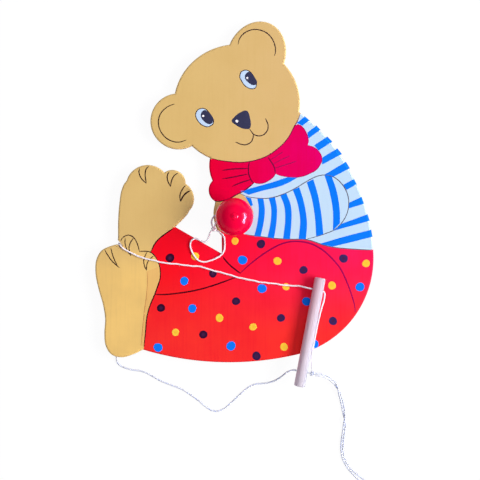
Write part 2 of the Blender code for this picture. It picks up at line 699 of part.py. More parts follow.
def loop_round_pin():
    """Upper half of the small loop, from its knot round the ball's pin and back."""
    turn = np.linspace(math.pi / 2, -math.pi / 2, 7)
    round_pin = 1.05 * LEAST_BEND / MM * np.stack([np.cos(turn), np.sin(turn)], axis=1)
    there = [(-20.9, -4.4), (-19.6, -0.3), (-15, 2.9), (-8, 4.2)]
    back = [(-8, -3.7), (-12.7, -3.1)]
    to_knot = [(-15.2, -3.7), (-17, -5.5), (-17.8, -8)]
    middle = np.vstack([there, round_pin, back])
    route = np.vstack([
        with_heights([(-20.3, -7.9)], [ON_BOARD + 0.0009]),
        with_heights(middle, [ON_BOARD] * len(middle)),
        with_heights(to_knot, [ON_BOARD + rise for rise in (0.0001, 0.0004, 0.0009)]),
    ])
    return cord("loop_round_pin", smooth(route, FINE_STEP))


def loop_hanging():
    """Lower half of the small loop: over the leg and back across the gap beside it."""
    from_knot = [(-16.5, -11.8), (-13.7, -13.4)]
    on_board = [
        (-11, -15.6), (-9.4, -18.8), (-8.9, -24.5), (-9.5, -30), (-12, -34.2), (-17, -37.4),
        (-22.5, -39.6), (-28, -40.6), (-32.8, -39.2), (-36.4, -35.4), (-39, -30.5), (-40.2, -26),
        (-39.6, -22.2), (-37, -19.8), (-33.6, -19.7), (-30.9, -21.3), (-28.6, -22.3), (-26.2, -22),
        (-24.4, -20.4), (-23.5, -18),
    ]
    to_knot = [(-22.6, -15.2), (-21.2, -12.3)]
    route = np.vstack([
        with_heights(from_knot, [ON_BOARD + rise for rise in (0.0010, 0.0005)]),
        with_heights(on_board, [ON_BOARD] * len(on_board)),
        with_heights(to_knot, [ON_BOARD + rise for rise in (0.0003, 0.0010)]),
    ])
    return cord("loop_hanging", smooth(route, FINE_STEP))


def build():
    clear_scene()
    bear_board()
    ball()
    ball_pin()
    frame = handle_frame()
    handle_dowel(frame)
    cord_front()
    cord_behind_foot()
    cord_ground()
    cord_handle_run(frame)
    cord_low_pass(frame)
    knot("handle_knot", (HANDLE_KNOT_X, LOW_HOLE_Y, 0), (1, 0, 0), frame)
    cord_tail()
    _, end = cord_coil()
    knot("end_knot", end + (KNOT_LENGTH / 2 + SEAT_GAP) * coil_way(), coil_way())
    coil_tie()
    loop_round_pin()
    loop_hanging()
    knot("loop_knot", (*(np.array(LOOP_KNOT) * MM), LOOP_KNOT_Z), LOOP_KNOT_HEADING)


build()
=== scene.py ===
"""Looks of the painted plywood bear with its ball, handle and cords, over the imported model."""

import math

import bmesh
import bpy
import numpy as np
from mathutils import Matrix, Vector
from mathutils.geometry import delaunay_2d_cdt


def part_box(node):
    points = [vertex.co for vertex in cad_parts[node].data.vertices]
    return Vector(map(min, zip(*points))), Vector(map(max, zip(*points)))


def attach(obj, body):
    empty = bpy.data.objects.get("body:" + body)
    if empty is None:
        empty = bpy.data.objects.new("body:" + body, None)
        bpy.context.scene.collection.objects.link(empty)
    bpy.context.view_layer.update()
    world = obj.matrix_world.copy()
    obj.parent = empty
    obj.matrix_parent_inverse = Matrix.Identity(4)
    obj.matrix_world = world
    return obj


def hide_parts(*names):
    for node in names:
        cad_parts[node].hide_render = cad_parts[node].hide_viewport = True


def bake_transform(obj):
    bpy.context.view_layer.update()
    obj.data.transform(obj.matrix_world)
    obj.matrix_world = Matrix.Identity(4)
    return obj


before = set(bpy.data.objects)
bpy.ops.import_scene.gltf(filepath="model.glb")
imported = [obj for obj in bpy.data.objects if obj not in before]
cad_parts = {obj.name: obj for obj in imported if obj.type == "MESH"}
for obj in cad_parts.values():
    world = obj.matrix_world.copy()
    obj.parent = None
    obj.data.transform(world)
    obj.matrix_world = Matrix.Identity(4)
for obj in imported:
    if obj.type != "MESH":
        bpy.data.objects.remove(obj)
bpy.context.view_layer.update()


# The table and the light
# The toy lies on a white table, seen straight down from about a metre. A wide window on the right
# lights it and has a colder image of its own in gloss; a soft ceiling and a dim room fill in.
MM = 0.001
BOARD_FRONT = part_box("bear_board")[1].z
FRAME_MIDDLE = (5.0 * MM, -20.7 * MM)
FRAME_WIDTH = 436.8 * MM
CAMERA_HEIGHT = 1.05
TABLE_HALF = 3.0
TABLE_LEVEL = -0.05 * MM
TABLE_TONE = (244, 244, 246)
OWN_WHITE = 0.92
WHITE_GLOW = 1.02
FILL_TONE = (0.85, 0.79, 1.0, 1.0)
FILL_SIDES = (-0.8, 0.2)
FILL_STRENGTH = (0.12, 0.29)
WALL_FADE = [math.sin(math.radians(angle)) for angle in (14, 9)]


def srgb(red, green, blue):
    """A colour from 0 to 255 as the eye counts it, turned into the light that a shader mixes."""
    c = np.array([red, green, blue]) / 255
    light = np.where(c <= 0.04045, c / 12.92, ((c + 0.055) / 1.055) ** 2.4)
    return (*light.tolist(), 1.0)


def node(tree, kind, inputs=None, **settings):
    """A shader node; each of its inputs is a value, or an output of another node."""
    made = tree.nodes.new("ShaderNode" + kind)
    for name, value in settings.items():
        setattr(made, name, value)
    for name, value in (inputs or {}).items():
        if isinstance(value, bpy.types.NodeSocket):
            tree.links.new(value, made.inputs[name])
        else:
            made.inputs[name].default_value = value
    return made


def calc(operation, *values, **settings):
    """The result of a sum on an output of another node and on further outputs or values."""
    inputs = dict(enumerate(values))
    return node(values[0].id_data, "Math", inputs, operation=operation, **settings).outputs[0]


def ranged(value, span=(0, 1), to=(0, 1), **settings):
    """An output that goes through a span, turned into one that goes along with it from end to end."""
    inputs = {"Value": value, "From Min": span[0], "From Max": span[1], "To Min": to[0], "To Max": to[1]}
    return node(value.id_data, "MapRange", inputs, **settings).outputs[0]


def apart(vector):
    """The X, Y and Z of a vector, by name."""
    return node(vector.id_data, "SeparateXYZ", {"Vector": vector}).outputs


def new_material(name):
    """An empty material, with its tree and its Principled shader."""
    material = bpy.data.materials.new(name)
    material.use_nodes = True
    return material, material.node_tree, material.node_tree.nodes["Principled BSDF"]


def put(name, data):
    """A new object at the origin of the scene."""
    made = bpy.data.objects.new(name, data)
    bpy.context.scene.collection.objects.link(made)
    return made


def new_piece(name, points, faces, material):
    """A smooth-shaded object at the origin from points, which may lie in a grid, and faces."""
    mesh = bpy.data.meshes.new(name)
    mesh.from_pydata(np.reshape(points, (-1, 3)).tolist(), [], faces)
    mesh.materials.append(material)
    mesh.shade_smooth()
    return put(name, mesh)


def lamp(name, place, size, power, colour, mirrored=False):
    """A soft rectangular lamp that looks from its place to the middle of the toy's front.

    It either lights what is matt or, where mirrored is set, is only seen in gloss.
    """
    light = bpy.data.lights.new(name, "AREA")
    light.shape = "RECTANGLE"
    light.size, light.size_y = size
    light.energy = power
    light.color = colour
    lit = put(name, light)
    lit.location = place
    aim = Vector((*FRAME_MIDDLE, BOARD_FRONT)) - Vector(place)
    lit.rotation_euler = aim.to_track_quat("-Z", "Y").to_euler()
    lit.visible_glossy = mirrored
    lit.visible_diffuse = not mirrored


def looked_at(tree):
    """1 for the rays that the camera, gloss and glass send out, and 0 for those that carry light."""
    rays = node(tree, "LightPath").outputs
    seen = calc("MAXIMUM", rays["Is Camera Ray"], rays["Is Glossy Ray"])
    return calc("MAXIMUM", seen, rays["Is Transmission Ray"])


def table_top():
    """The white table; what the camera sees of it is mostly its own white, with a faint shadow."""
    material, tree, shader = new_material("table_white")
    shader.inputs["Base Color"].default_value = srgb(*TABLE_TONE)
    shader.inputs["Roughness"].default_value = 0.9
    share = calc("MULTIPLY", looked_at(tree), OWN_WHITE)
    white = node(tree, "Emission", {"Color": (1, 1, 1, 1), "Strength": WHITE_GLOW})
    both = node(tree, "MixShader", {0: share, 1: shader.outputs[0], 2: white.outputs[0]})
    tree.links.new(both.outputs[0], tree.nodes["Material Output"].inputs["Surface"])
    sides = (-TABLE_HALF, TABLE_HALF)
    corners = [(x, y, TABLE_LEVEL) for y in sides for x in sides]
    new_piece("table_top", corners, [(0, 1, 3, 2)], material)


def room():
    """The room: a violet fill, dimmer from the left, and white walls where it is looked at low down."""
    world = bpy.data.worlds.new("room")
    world.use_nodes = True
    tree = world.node_tree
    fill = tree.nodes["Background"]
    fill.inputs["Color"].default_value = FILL_TONE
    towards = apart(node(tree, "TexCoord").outputs["Generated"])
    tree.links.new(ranged(towards["X"], FILL_SIDES, FILL_STRENGTH), fill.inputs["Strength"])
    walls = node(tree, "Background", {"Color": (1, 1, 1, 1), "Strength": 1.0})
    share = calc("MULTIPLY", looked_at(tree), ranged(towards["Z"], WALL_FADE))
    both = node(tree, "MixShader", {0: share, 1: fill.outputs[0], 2: walls.outputs[0]})
    tree.links.new(both.outputs[0], tree.nodes["World Output"].inputs["Surface"])
    bpy.context.scene.world = world


table_top()
lamp("window", place=(1.90, -0.13, 1.29), size=(2.00, 0.85), power=61.0, colour=(1.0, 0.97, 0.92))
lamp("window_in_gloss", place=(2.10, -0.33, 0.95), size=(2.00, 0.60), power=520.0,
     colour=(0.70, 0.75, 1.0), mirrored=True)
lamp("ceiling", place=(0.0, 0.45, 1.6), size=(2.4, 2.4), power=12.0, colour=(0.94, 0.92, 1.0))
room()
bpy.context.scene.view_settings.view_transform = "Standard"

lens = bpy.data.cameras.new("camera")
lens.sensor_fit = "HORIZONTAL"
lens.angle = 2 * math.atan(FRAME_WIDTH / 2 / CAMERA_HEIGHT)
camera = put("camera", lens)
camera.location = (*FRAME_MIDDLE, BOARD_FRONT + CAMERA_HEIGHT)
bpy.context.scene.camera = camera


# The board
# One sheet of birch plywood, sawn to the bear's outline and rounded over by hand. It keeps its
# solid, which shows on the back and, as bare plies, around the lower part of the sawn edge.
PLY_THICKNESS = 1.5 * MM
PLY_TURN = (0.42 * PLY_THICKNESS, 0.58 * PLY_THICKNESS)
VENEER_GRAIN = (420, 26, 420)
EDGE_GRAIN = (900, 900, 300)
BACK_FACING = -0.7
FRONT_FACING = 0.3


def mixed(share, first, second):
    """Two colours mixed by a share; each is an output of another node, or red, green and blue."""
    first, second = (srgb(*tone) if isinstance(tone, tuple) else tone for tone in (first, second))
    inputs = {"Factor": share, "A": first, "B": second}
    return node(share.id_data, "Mix", inputs, data_type="RGBA").outputs["Result"]


def own_place(tree):
    """Where on the toy a point lies."""
    return node(tree, "TexCoord").outputs["Object"]


def facing_up(tree):
    """How far a surface faces the front: 1 on the front, 0 on the sawn edge and -1 on the back."""
    return apart(node(tree, "NewGeometry").outputs["Normal"])["Z"]


def noise(place, scale, detail, **more):
    """Cloudy noise; a scale of three numbers draws it out along the axes."""
    tree = place.id_data
    if isinstance(scale, tuple):
        place = node(tree, "Mapping", {"Vector": place, "Scale": scale}).outputs[0]
        scale = 1.0
    inputs = {"Vector": place, "Scale": scale, "Detail": detail, **more}
    return node(tree, "TexNoise", inputs).outputs["Fac"]


def dress(shader, colour, rough, height, relief, gloss, depth=0.2 * MM):
    """A shader with its colour, its roughness, its relief of some depth, and an even gloss."""
    tree = shader.id_data
    bump = node(tree, "Bump", {"Height": height, "Strength": relief, "Distance": depth})
    for name, value in (("Base Color", colour), ("Roughness", rough), ("Normal", bump.outputs[0])):
        tree.links.new(value, shader.inputs[name])
    shader.inputs["Specular IOR Level"].default_value = gloss


def board_wood():
    """Veneer with long grain on the back, and plies that lie crosswise in turn on the edge."""
    material, tree, shader = new_material("birch_plywood")
    place = own_place(tree)
    fibre = noise(place, VENEER_GRAIN, detail=5.0, Roughness=0.6, Distortion=0.4)
    veneer = mixed(ranged(fibre, (0.32, 0.68)), (196, 160, 112), (228, 201, 158))
    crosswise = ranged(calc("PINGPONG", apart(place)["Z"], PLY_THICKNESS), PLY_TURN)
    pores = noise(place, EDGE_GRAIN, detail=3.0)
    pale = mixed(pores, (226, 196, 146), (205, 168, 116))
    dark = mixed(pores, (176, 132, 84), (150, 108, 66))
    plies = mixed(crosswise, pale, dark)
    facing = facing_up(tree)
    wood = mixed(calc("LESS_THAN", facing, BACK_FACING), plies, veneer)
    skin = mixed(calc("GREATER_THAN", facing, FRONT_FACING), wood, (222, 186, 122))
    dress(shader, skin, ranged(fibre, to=(0.55, 0.75)), fibre, relief=0.25, gloss=0.02)
    return material


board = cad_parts["bear_board"]
board.data.materials.clear()
board.data.materials.append(board_wood())


# The coats of paint
# Thin matt water paint brushed over the front and round the rounded edge: tan for the fur, red
# for the trousers, pale blue for the shirt and crimson for the bow. The grain shows through.
EDGE_RADIUS = 1.5 * MM
COAT = 0.10 * MM
COAT_WRAP = 0.5 * MM
COAT_TOP = BOARD_FRONT + COAT
CORNER = math.radians(28)
STRAIGHT = 1e-3
SAME_PLACE = 1e-6
CURVE_PARTS = 40
RIM_MITRE = 0.4
RIM_PARTS = 8
JUST_INSIDE = 0.02
PAINT_GRAIN = (460, 15, 460)
PAINT_CLOUDS = 34.0
PAINT_TOOTH = 1500.0
PAINT_DRIFT = (-70 * MM, 110 * MM)


def unit(vectors):
    """The same directions with a length of one."""
    return vectors / np.linalg.norm(vectors, axis=-1, keepdims=True)


def measured(path):
    """The length of a path up to each of its points."""
    return np.concatenate([[0], np.cumsum(np.linalg.norm(np.diff(path, axis=0), axis=1))])


def cubic(start, end, leave, arrive, parts):
    """Points along cubics, each from its start to just before its end, with a slope at either."""
    t = np.linspace(0, 1, parts, endpoint=False)[:, None]
    a, b, m, n = (given[:, None] for given in (start, end, leave, arrive))
    curve = (a * (1 + 2 * t) * (1 - t) ** 2 + b * t**2 * (3 - 2 * t)
             + m * t * (1 - t) ** 2 - n * t**2 * (1 - t))
    return curve.reshape(-1, start.shape[1])


def smooth(points, step, closed=False):
    """Points a step apart on a smooth curve through the given points.

    Between two points the curve is a cubic whose end slopes follow the chords on either
    side, weighted by the square root of their lengths, so that it has no loops.
    """
    p = np.array(points, float)
    if closed:
        p = np.vstack([p[-1], p, p[0], p[1]])
    else:
        p = np.vstack([2 * p[0] - p[1], p, 2 * p[-1] - p[-2]])
    k = np.sqrt(np.linalg.norm(np.diff(p, axis=0), axis=1))[:, None]
    chord = np.diff(p, axis=0) / k
    slope = (chord[:-1] * k[1:] + chord[1:] * k[:-1]) / (k[:-1] + k[1:])
    curve = cubic(p[1:-2], p[2:-1], k[1:-1] * slope[:-1], k[1:-1] * slope[1:], CURVE_PARTS)
    curve = np.vstack([curve, p[-2:-1]])
    along = measured(curve)
    at = np.linspace(0, along[-1], max(3, round(along[-1] / step) + 1))
    even = np.stack([np.interp(at, along, axis) for axis in curve.T], axis=1)
    return even[:-1] if closed else even


def drawn(points, step=1.2, closed=False):
    """A smooth brush path in metres, from points on the board and a step in millimetres."""
    return smooth(np.array(points) * MM, step * MM, closed)


def merged(mesh):
    """A mesh opened for work, with the points merged that lie in one place."""
    opened = bmesh.new()
    opened.from_mesh(mesh)
    bmesh.ops.remove_doubles(opened, verts=opened.verts, dist=SAME_PLACE)
    return opened


def anticlockwise(ring):
    """A ring turned round where the area that it goes about comes out negative."""
    after = np.roll(ring, -1, axis=0)
    area = np.sum(ring[:, 0] * after[:, 1] - ring[:, 1] * after[:, 0])
    return ring if area > 0 else ring[::-1]


def sawn_outline():
    """The ring of the board's sawn edge, as its solid has it about half-way up, anticlockwise."""
    section = merged(board.data)
    everything = section.verts[:] + section.edges[:] + section.faces[:]
    bmesh.ops.bisect_plane(
        section, geom=everything, dist=1e-7, plane_co=(0, 0, 0.55 * BOARD_FRONT),
        plane_no=(0, 0, 1), clear_inner=True, clear_outer=True,
    )
    loops = bmesh.ops.edgeloop_fill(section, edges=section.edges[:])["faces"]
    ring = np.array([v.co.xy for v in max(loops, key=lambda face: face.calc_area()).verts])
    section.free()
    return anticlockwise(ring)


def turns(ring):
    """The directions into and out of each point of a ring, and the angle between them."""
    out = unit(np.roll(ring, -1, axis=0) - ring)
    into = np.roll(out, 1, axis=0)
    angle = np.arctan2(into[:, 0] * out[:, 1] - into[:, 1] * out[:, 0], np.sum(into * out, axis=1))
    return into, out, angle


def rounded(ring, parts):
    """The ring with each side bowed into a cubic that runs on smoothly, except at corners."""
    ring = ring[np.abs(turns(ring)[2]) > STRAIGHT]
    into, out, angle = turns(ring)
    even = unit(into + out)
    sharp = (np.abs(angle) > CORNER)[:, None]
    after = np.roll(ring, -1, axis=0)
    span = np.linalg.norm(after - ring, axis=1)[:, None]
    arrive = np.roll(np.where(sharp, into, even), -1, axis=0)
    return cubic(ring, after, span * np.where(sharp, out, even), span * arrive, parts)


def mitres(ring, least):
    """The way out of an anticlockwise ring at each point, half-way between its two sides.

    It is longer at a corner, by the cosine of half the turn, which counts as no less than the least.
    """
    into, out, angle = turns(ring)
    both = into + out
    return unit(np.stack([both[:, 1], -both[:, 0]], axis=1)) / np.maximum(np.cos(angle / 2), least)[:, None]


def raised(plan, level):
    """Points in plan with their heights: one for each point, each row, each column, or all."""
    level = np.broadcast_to(level, plan.shape[:-1])
    return np.concatenate([plan, level[..., None]], axis=-1)


def rim_rows(ring):
    """Rows of the coat over the edge: a quarter circle, carried round the ring along its mitres.

    Each row lies some way out from the ring and at some height: a start in the wood, a short
    stretch up the sawn side, then the rounded edge, then a narrow flat stretch on the front.
    """
    a = np.linspace(0, math.pi / 2, RIM_PARTS)
    bow = EDGE_RADIUS + COAT
    wrap = EDGE_RADIUS + COAT_WRAP
    reach = np.concatenate([[-COAT, COAT], bow * np.cos(a) - EDGE_RADIUS, [-wrap]])
    height = np.concatenate([[-wrap, -wrap], bow * np.sin(a) - EDGE_RADIUS, [COAT]])
    return raised(ring + reach[:, None, None] * mitres(ring, RIM_MITRE), BOARD_FRONT + height[:, None])


def inside(points, outline):
    """True where a point lies in a closed outline: a ray from it crosses an odd number of sides."""
    x, y = points[:, :1], points[:, 1:2]
    ax, ay = outline.T
    bx, by = np.roll(outline, -1, axis=0).T
    crosses = (ay > y) != (by > y)
    rise = np.where(by == ay, 1.0, by - ay)
    return np.sum(crosses & (x < ax + (y - ay) * (bx - ax) / rise), axis=1) % 2 == 1


def grid_faces(rows, columns, round_columns, round_rows=False):
    """The four-cornered faces of a grid of points, rows by columns, which may close either way round."""
    index = np.arange(rows * columns).reshape(rows, columns)
    if round_columns:
        index = np.concatenate([index, index[:, :1]], axis=1)
    if round_rows:
        index = np.concatenate([index, index[:1]], axis=0)
    corners = [index[:-1, :-1], index[:-1, 1:], index[1:, 1:], index[1:, :-1]]
    return np.stack(corners, axis=-1).reshape(-1, 4)


def fit(piece, body, slot, *solids):
    """A piece fixed to a body, hiding the solids that it stands for; its slot is not used."""
    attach(piece, body)
    if solids:
        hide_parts(*solids)


def brushed_grain():
    """A node group: a paint colour over wood, with streaks along the grain and cloudy brushwork."""
    group = bpy.data.node_groups.new("brushed_grain", "ShaderNodeTree")
    for way, kind, names in (
        ("INPUT", "Color", ("Colour", "Thin")), ("INPUT", "Float", ("Streaks", "Clouds")),
        ("OUTPUT", "Color", ("Colour",)), ("OUTPUT", "Float", ("Roughness", "Height")),
    ):
        for name in names:
            group.interface.new_socket(name, in_out=way, socket_type="NodeSocket" + kind)
    given = group.nodes.new("NodeGroupInput").outputs
    place = own_place(group)
    streak = noise(place, PAINT_GRAIN, detail=4.0, Roughness=0.62, Distortion=0.3)
    cloud = noise(place, PAINT_CLOUDS, detail=3.0)
    tooth = noise(place, PAINT_TOOTH, detail=2.0)
    lines = calc("MULTIPLY", ranged(streak, (0.48, 0.8)), given["Streaks"])
    patches = calc("MULTIPLY", ranged(cloud, (0.35, 0.7)), given["Clouds"])
    worn = calc("ADD", lines, patches, use_clamp=True)
    result = group.nodes.new("NodeGroupOutput").inputs
    group.links.new(mixed(worn, given["Colour"], given["Thin"]), result["Colour"])
    group.links.new(ranged(streak, to=(0.5, 0.68)), result["Roughness"])
    group.links.new(calc("MULTIPLY_ADD", tooth, 0.25, streak), result["Height"])
    return group


GRAIN = brushed_grain()


def matt_paint(name, left, right, thin, streaks=0.2, clouds=0.3, rim=None, drop_middle_tone=None, low=None):
    """Matt paint: its colour drifts from left to right and thins along the grain.

    On a rounded edge it may be paler, a painted highlight, and in a drop it may turn to another colour in
    the middle.
    It may also drift to a lower colour, given with the two heights between which it does.
    """
    material, tree, shader = new_material(name)
    place = apart(own_place(tree))
    base = mixed(ranged(place["X"], PAINT_DRIFT, interpolation_type="SMOOTHSTEP"), left, right)
    if low:
        below = ranged(place["Y"], low[1:], interpolation_type="SMOOTHSTEP")
        base = mixed(below, base, low[0])
    if drop_middle_tone:
        # Towards the middle of a drop the colour turns to the drop's middle tone.
        share = node(tree, "Attribute", attribute_name="share").outputs["Fac"]
        base = mixed(ranged(share, (0.62, 0.2), (0, 0.85)), base, drop_middle_tone)
    inputs = {"Colour": base, "Thin": srgb(*thin), "Streaks": streaks, "Clouds": clouds}
    grain = node(tree, "Group", inputs, node_tree=GRAIN).outputs
    colour = grain["Colour"]
    # Painted highlight: the colour turns to the paler rim colour as the rounded edge turns away from the
    # front.
    if rim:
        colour = mixed(ranged(facing_up(tree), (0.99, 0.5), (0, 0.6)), colour, rim)
    dress(shader, colour, grain["Roughness"], grain["Height"], relief=0.16, gloss=0.006)
    return material


CHIN = drawn([
    (62.3, 100.4), (60.1, 95.4), (57.8, 88.5), (54.1, 82.2), (50.5, 74.9), (45, 67.6), (37.8, 61.2),
    (30.5, 56.2), (23.2, 53.1), (14.1, 50.8), (5, 49.9), (-4.1, 50.5), (-13.2, 51.7), (-22.3, 54),
    (-31.4, 56.7),
])
BOW_TOP_WING = drawn([(54.1, 82.2), (56, 84), (59.6, 83.7), (63.2, 80.4), (66, 75.3), (67.3, 70.3),
                      (66.9, 65.5)])
BOW_LOW_WING = drawn([
    (66.9, 65.5), (71.4, 64), (76, 60.8), (78.7, 56.7), (79.6, 52.1), (77.8, 47.6), (74.2, 43),
    (68.7, 39.9), (62.3, 37.3), (55.1, 36.4), (47.8, 36.9), (41.4, 38), (37.3, 39.4),
])
BOW_KNOT_LOW = drawn([(37.3, 39.4), (35, 36.2), (30.5, 33), (25, 30.8), (20.5, 30.8), (17.7, 31.2)])
BOW_LEFT_WING = drawn([(17.7, 31.2), (12.3, 26.7), (6.8, 23), (1.4, 20.3), (-5, 16.8), (-12.3, 14.6),
                       (-18.7, 15), (-27.8, 18.5)])
WAIST = drawn([
    (-16, -12.6), (-8, -12.8), (2, -13.2), (10.5, -15.7), (23.2, -17.5), (36.9, -19.3), (50.5, -20),
    (64.2, -20.2), (70.5, -21.6), (82.4, -25.7), (91.5, -27.5), (105.1, -28.8), (118.8, -29.6),
    (126.5, -29.8), (137, -29.8),
])
CUFF = drawn([(5, 22.1), (9.8, 18.2), (13.4, 13.6), (16.2, 8), (17.3, 3.5), (16.6, -2), (13.4, -9),
              (8, -14)])
UPPER_FOOT_LINE = [(-53.2, -7), (-60.5, -13.4), (-67.8, -18.8), (-72.3, -23.8), (-75.1, -29.3),
                   (-76.4, -31.6)]
LOWER_FOOT_LINE = [
    (-76.4, -31.6), (-73.3, -34.3), (-70.5, -38.4), (-68.2, -44.3), (-67.5, -50.7), (-67.8, -56.1),
    (-70.5, -64.3), (-72.8, -70.7), (-76, -78), (-78.7, -86.2), (-80.1, -93.5), (-81, -104.4),
    (-81.9, -112.6), (-82.4, -119.4), (-82.8, -129.9),
]
UPPER_FOOT = drawn(UPPER_FOOT_LINE)
LOWER_FOOT = drawn(LOWER_FOOT_LINE)
OFF_RIGHT = np.array([(160, -29.8), (160, 100.4)]) * MM
OFF_BELOW = np.array([(-82.8, -150), (160, -150), (160, -29.8)]) * MM
OFF_IN_GAP = np.array([(-18, -17), (-30, -12), (-50, -3)]) * MM
BORDERS = [CHIN, BOW_TOP_WING, BOW_LOW_WING, BOW_KNOT_LOW, BOW_LEFT_WING, WAIST, CUFF, UPPER_FOOT,
           LOWER_FOOT, OFF_IN_GAP]
COATS = {
    "trousers_coat": np.vstack([WAIST[::-1], OFF_IN_GAP, UPPER_FOOT, LOWER_FOOT, OFF_BELOW]),
    "shirt_coat": np.vstack([CHIN[CHIN[:, 0] > 5 * MM], CUFF, WAIST[WAIST[:, 0] > 8 * MM], OFF_RIGHT]),
    "bow_coat": np.vstack([CHIN[CHIN[:, 1] < 82.2 * MM][::-1], BOW_TOP_WING, BOW_LOW_WING, BOW_KNOT_LOW,
                           BOW_LEFT_WING]),
}
# Each rim colour is a painted highlight that is mixed in on the rounded edge.
PAINTS = {
    "bow_coat": matt_paint("crimson_paint", (240, 0, 26), (231, 0, 112), (220, 0, 48), 0.3, 0.3,
                           rim=(255, 40, 84)),
    "shirt_coat": matt_paint("pale_blue_paint", (206, 234, 251), (196, 226, 247), (186, 216, 243), 0.3, 0.3,
                             rim=(222, 240, 252)),
    "trousers_coat": matt_paint("red_paint", (253, 14, 32), (254, 30, 92), (240, 14, 44), 0.3, 0.35,
                                rim=(250, 44, 62), low=((254, 52, 46), -30 * MM, -115 * MM)),
    "fur_coat": matt_paint("tan_paint", (226, 193, 122), (222, 187, 129), (217, 182, 112), 0.3, 0.45,
                           rim=(250, 218, 150), low=((246, 206, 122), -15 * MM, -60 * MM)),
}


def coats():
    """The coats: the front triangulated along every border between colours, with its rim rows.

    A face takes the last coat whose outline holds its middle, and the fur's where none does.
    """
    rows = rim_rows(SAWN)
    around = rows.shape[1]
    loop = rows[-1, :, :2]
    plan = np.vstack([loop, *BORDERS])
    starts = around + np.cumsum([0] + [len(border) for border in BORDERS])
    sides = np.vstack([np.stack([np.arange(a, b - 1), np.arange(a + 1, b)], axis=1)
                       for a, b in zip(starts, starts[1:])])
    found, _, triangles, *_ = delaunay_2d_cdt(
        plan.tolist(), sides.tolist(), [list(range(around))], 1, 1e-7
    )
    front = raised(np.array(found), COAT_TOP)
    triangles = np.array(triangles)
    rim = grid_faces(len(rows), around, True)
    along = np.roll(loop, -1, axis=0) - loop
    inner = loop + along / 2 + JUST_INSIDE * np.stack([-along[:, 1], along[:, 0]], axis=1)
    spots = np.vstack([np.tile(inner, (len(rows) - 1, 1)), front[triangles][:, :, :2].mean(axis=1)])
    owner = np.full(len(spots), "fur_coat", dtype="<U16")
    for name, outline in COATS.items():
        owner[inside(spots, outline)] = name
    points = np.vstack([rows.reshape(-1, 3), front])
    for name, paint in PAINTS.items():
        mine = owner == name
        quads = rim[mine[:len(rim)]]
        fill = triangles[mine[len(rim):]] + len(rows) * around
        used, own = np.unique(np.concatenate([quads.ravel(), fill.ravel()]), return_inverse=True)
        faces = own[:quads.size].reshape(-1, 4).tolist() + own[quads.size:].reshape(-1, 3).tolist()
        coat = new_piece(name, points[used], faces, paint)
        sewn = merged(coat.data)
        sewn.to_mesh(coat.data)
        sewn.free()
        fit(coat, "bear", "painted_board")


SAWN = rounded(sawn_outline(), parts=3)
coats()


# The painted pattern
# Stripes on the shirt and dots on the trousers, put on by hand over the dry coats. Each stripe is
# one or two strokes of a flat brush, and each dot is a drop of paint that dried in a low ring.
STRIPE_TOP = 0.08 * MM
STRIPE_STEP = 0.05
STEPS_PER_ROW = 8
BACK_SPREAD = 0.8 * MM
SLEEVE_SPREAD = 0.95 * MM
DOT_RADIUS = 3.75 * MM
DOT_HEIGHT = 0.11 * MM
DOT_COLUMNS = 32
DOT_STRAY = (0.035, 0.02)
DOT_CHANGE = 0.05
DOT_PHASE = (613, 427)
SUNK = 0.03 * MM
SOFT_EDGE = 0.35 * MM
DAUB_MITRE = 0.6
NEAR_EDGE = 6 * MM
PAINT_CREASE = math.radians(60)
FINE_EDGE = rounded(sawn_outline(), parts=12)


def spread(ring, by):
    """An anticlockwise ring moved outwards along its mitres."""
    return ring + by * mitres(ring, DAUB_MITRE)


def daub(outline, top):
    """A filled patch of paint: its outline on the coat, two rows drawn in and raised, and a cap.

    The outline runs anticlockwise. The upper row lies the width of the soft edge inside it.
    """
    count = len(outline)
    plan = np.vstack([outline, spread(outline, -0.4 * SOFT_EDGE), spread(outline, -SOFT_EDGE)])
    level = COAT_TOP + np.repeat([-SUNK, 0.75 * top, top], count)
    return raised(plan, level), grid_faces(3, count, True), np.arange(2 * count, 3 * count)


def band(upper, lower, spread_by):
    """A stripe of a flat brush: a grid of straight mixes of its two painted edges, let down all round.

    Both edges are drawn in the same direction, the upper one on the left of that direction. Each is
    spread a little, away from the other.
    """
    left = drawn(upper, STRIPE_STEP)
    right = drawn(lower, STRIPE_STEP)
    count = round(len(left) / STEPS_PER_ROW)
    even = np.linspace(0.8 / count, 1 - 0.8 / count, count)
    t = np.concatenate([[0, 0.25 / count], even, [1 - 0.25 / count, 1]])
    v = np.array([0, 0.05, 0.14, 0.38, 0.62, 0.86, 0.95, 1])
    left, right = (edge[np.round(t * (len(edge) - 1)).astype(int)] for edge in (left, right))
    across = unit(left - right)
    left = left + spread_by * across
    right = right - spread_by * across
    plan = right[:, None] + v[:, None] * (left - right)[:, None]
    along, over = (np.interp(s, s[[0, 1, 2, -3, -2, -1]], [0, 0.75, 1, 1, 0.75, 0]) for s in (t, v))
    level = COAT_TOP - SUNK + (STRIPE_TOP + SUNK) * np.minimum(along[:, None], over)
    return raised(plan, level).reshape(-1, 3), grid_faces(len(t), len(v), False)[:, ::-1], None


def circle(angle):
    """Points on a circle of radius one, at the given angles."""
    return np.stack([np.cos(angle), np.sin(angle)], axis=-1)


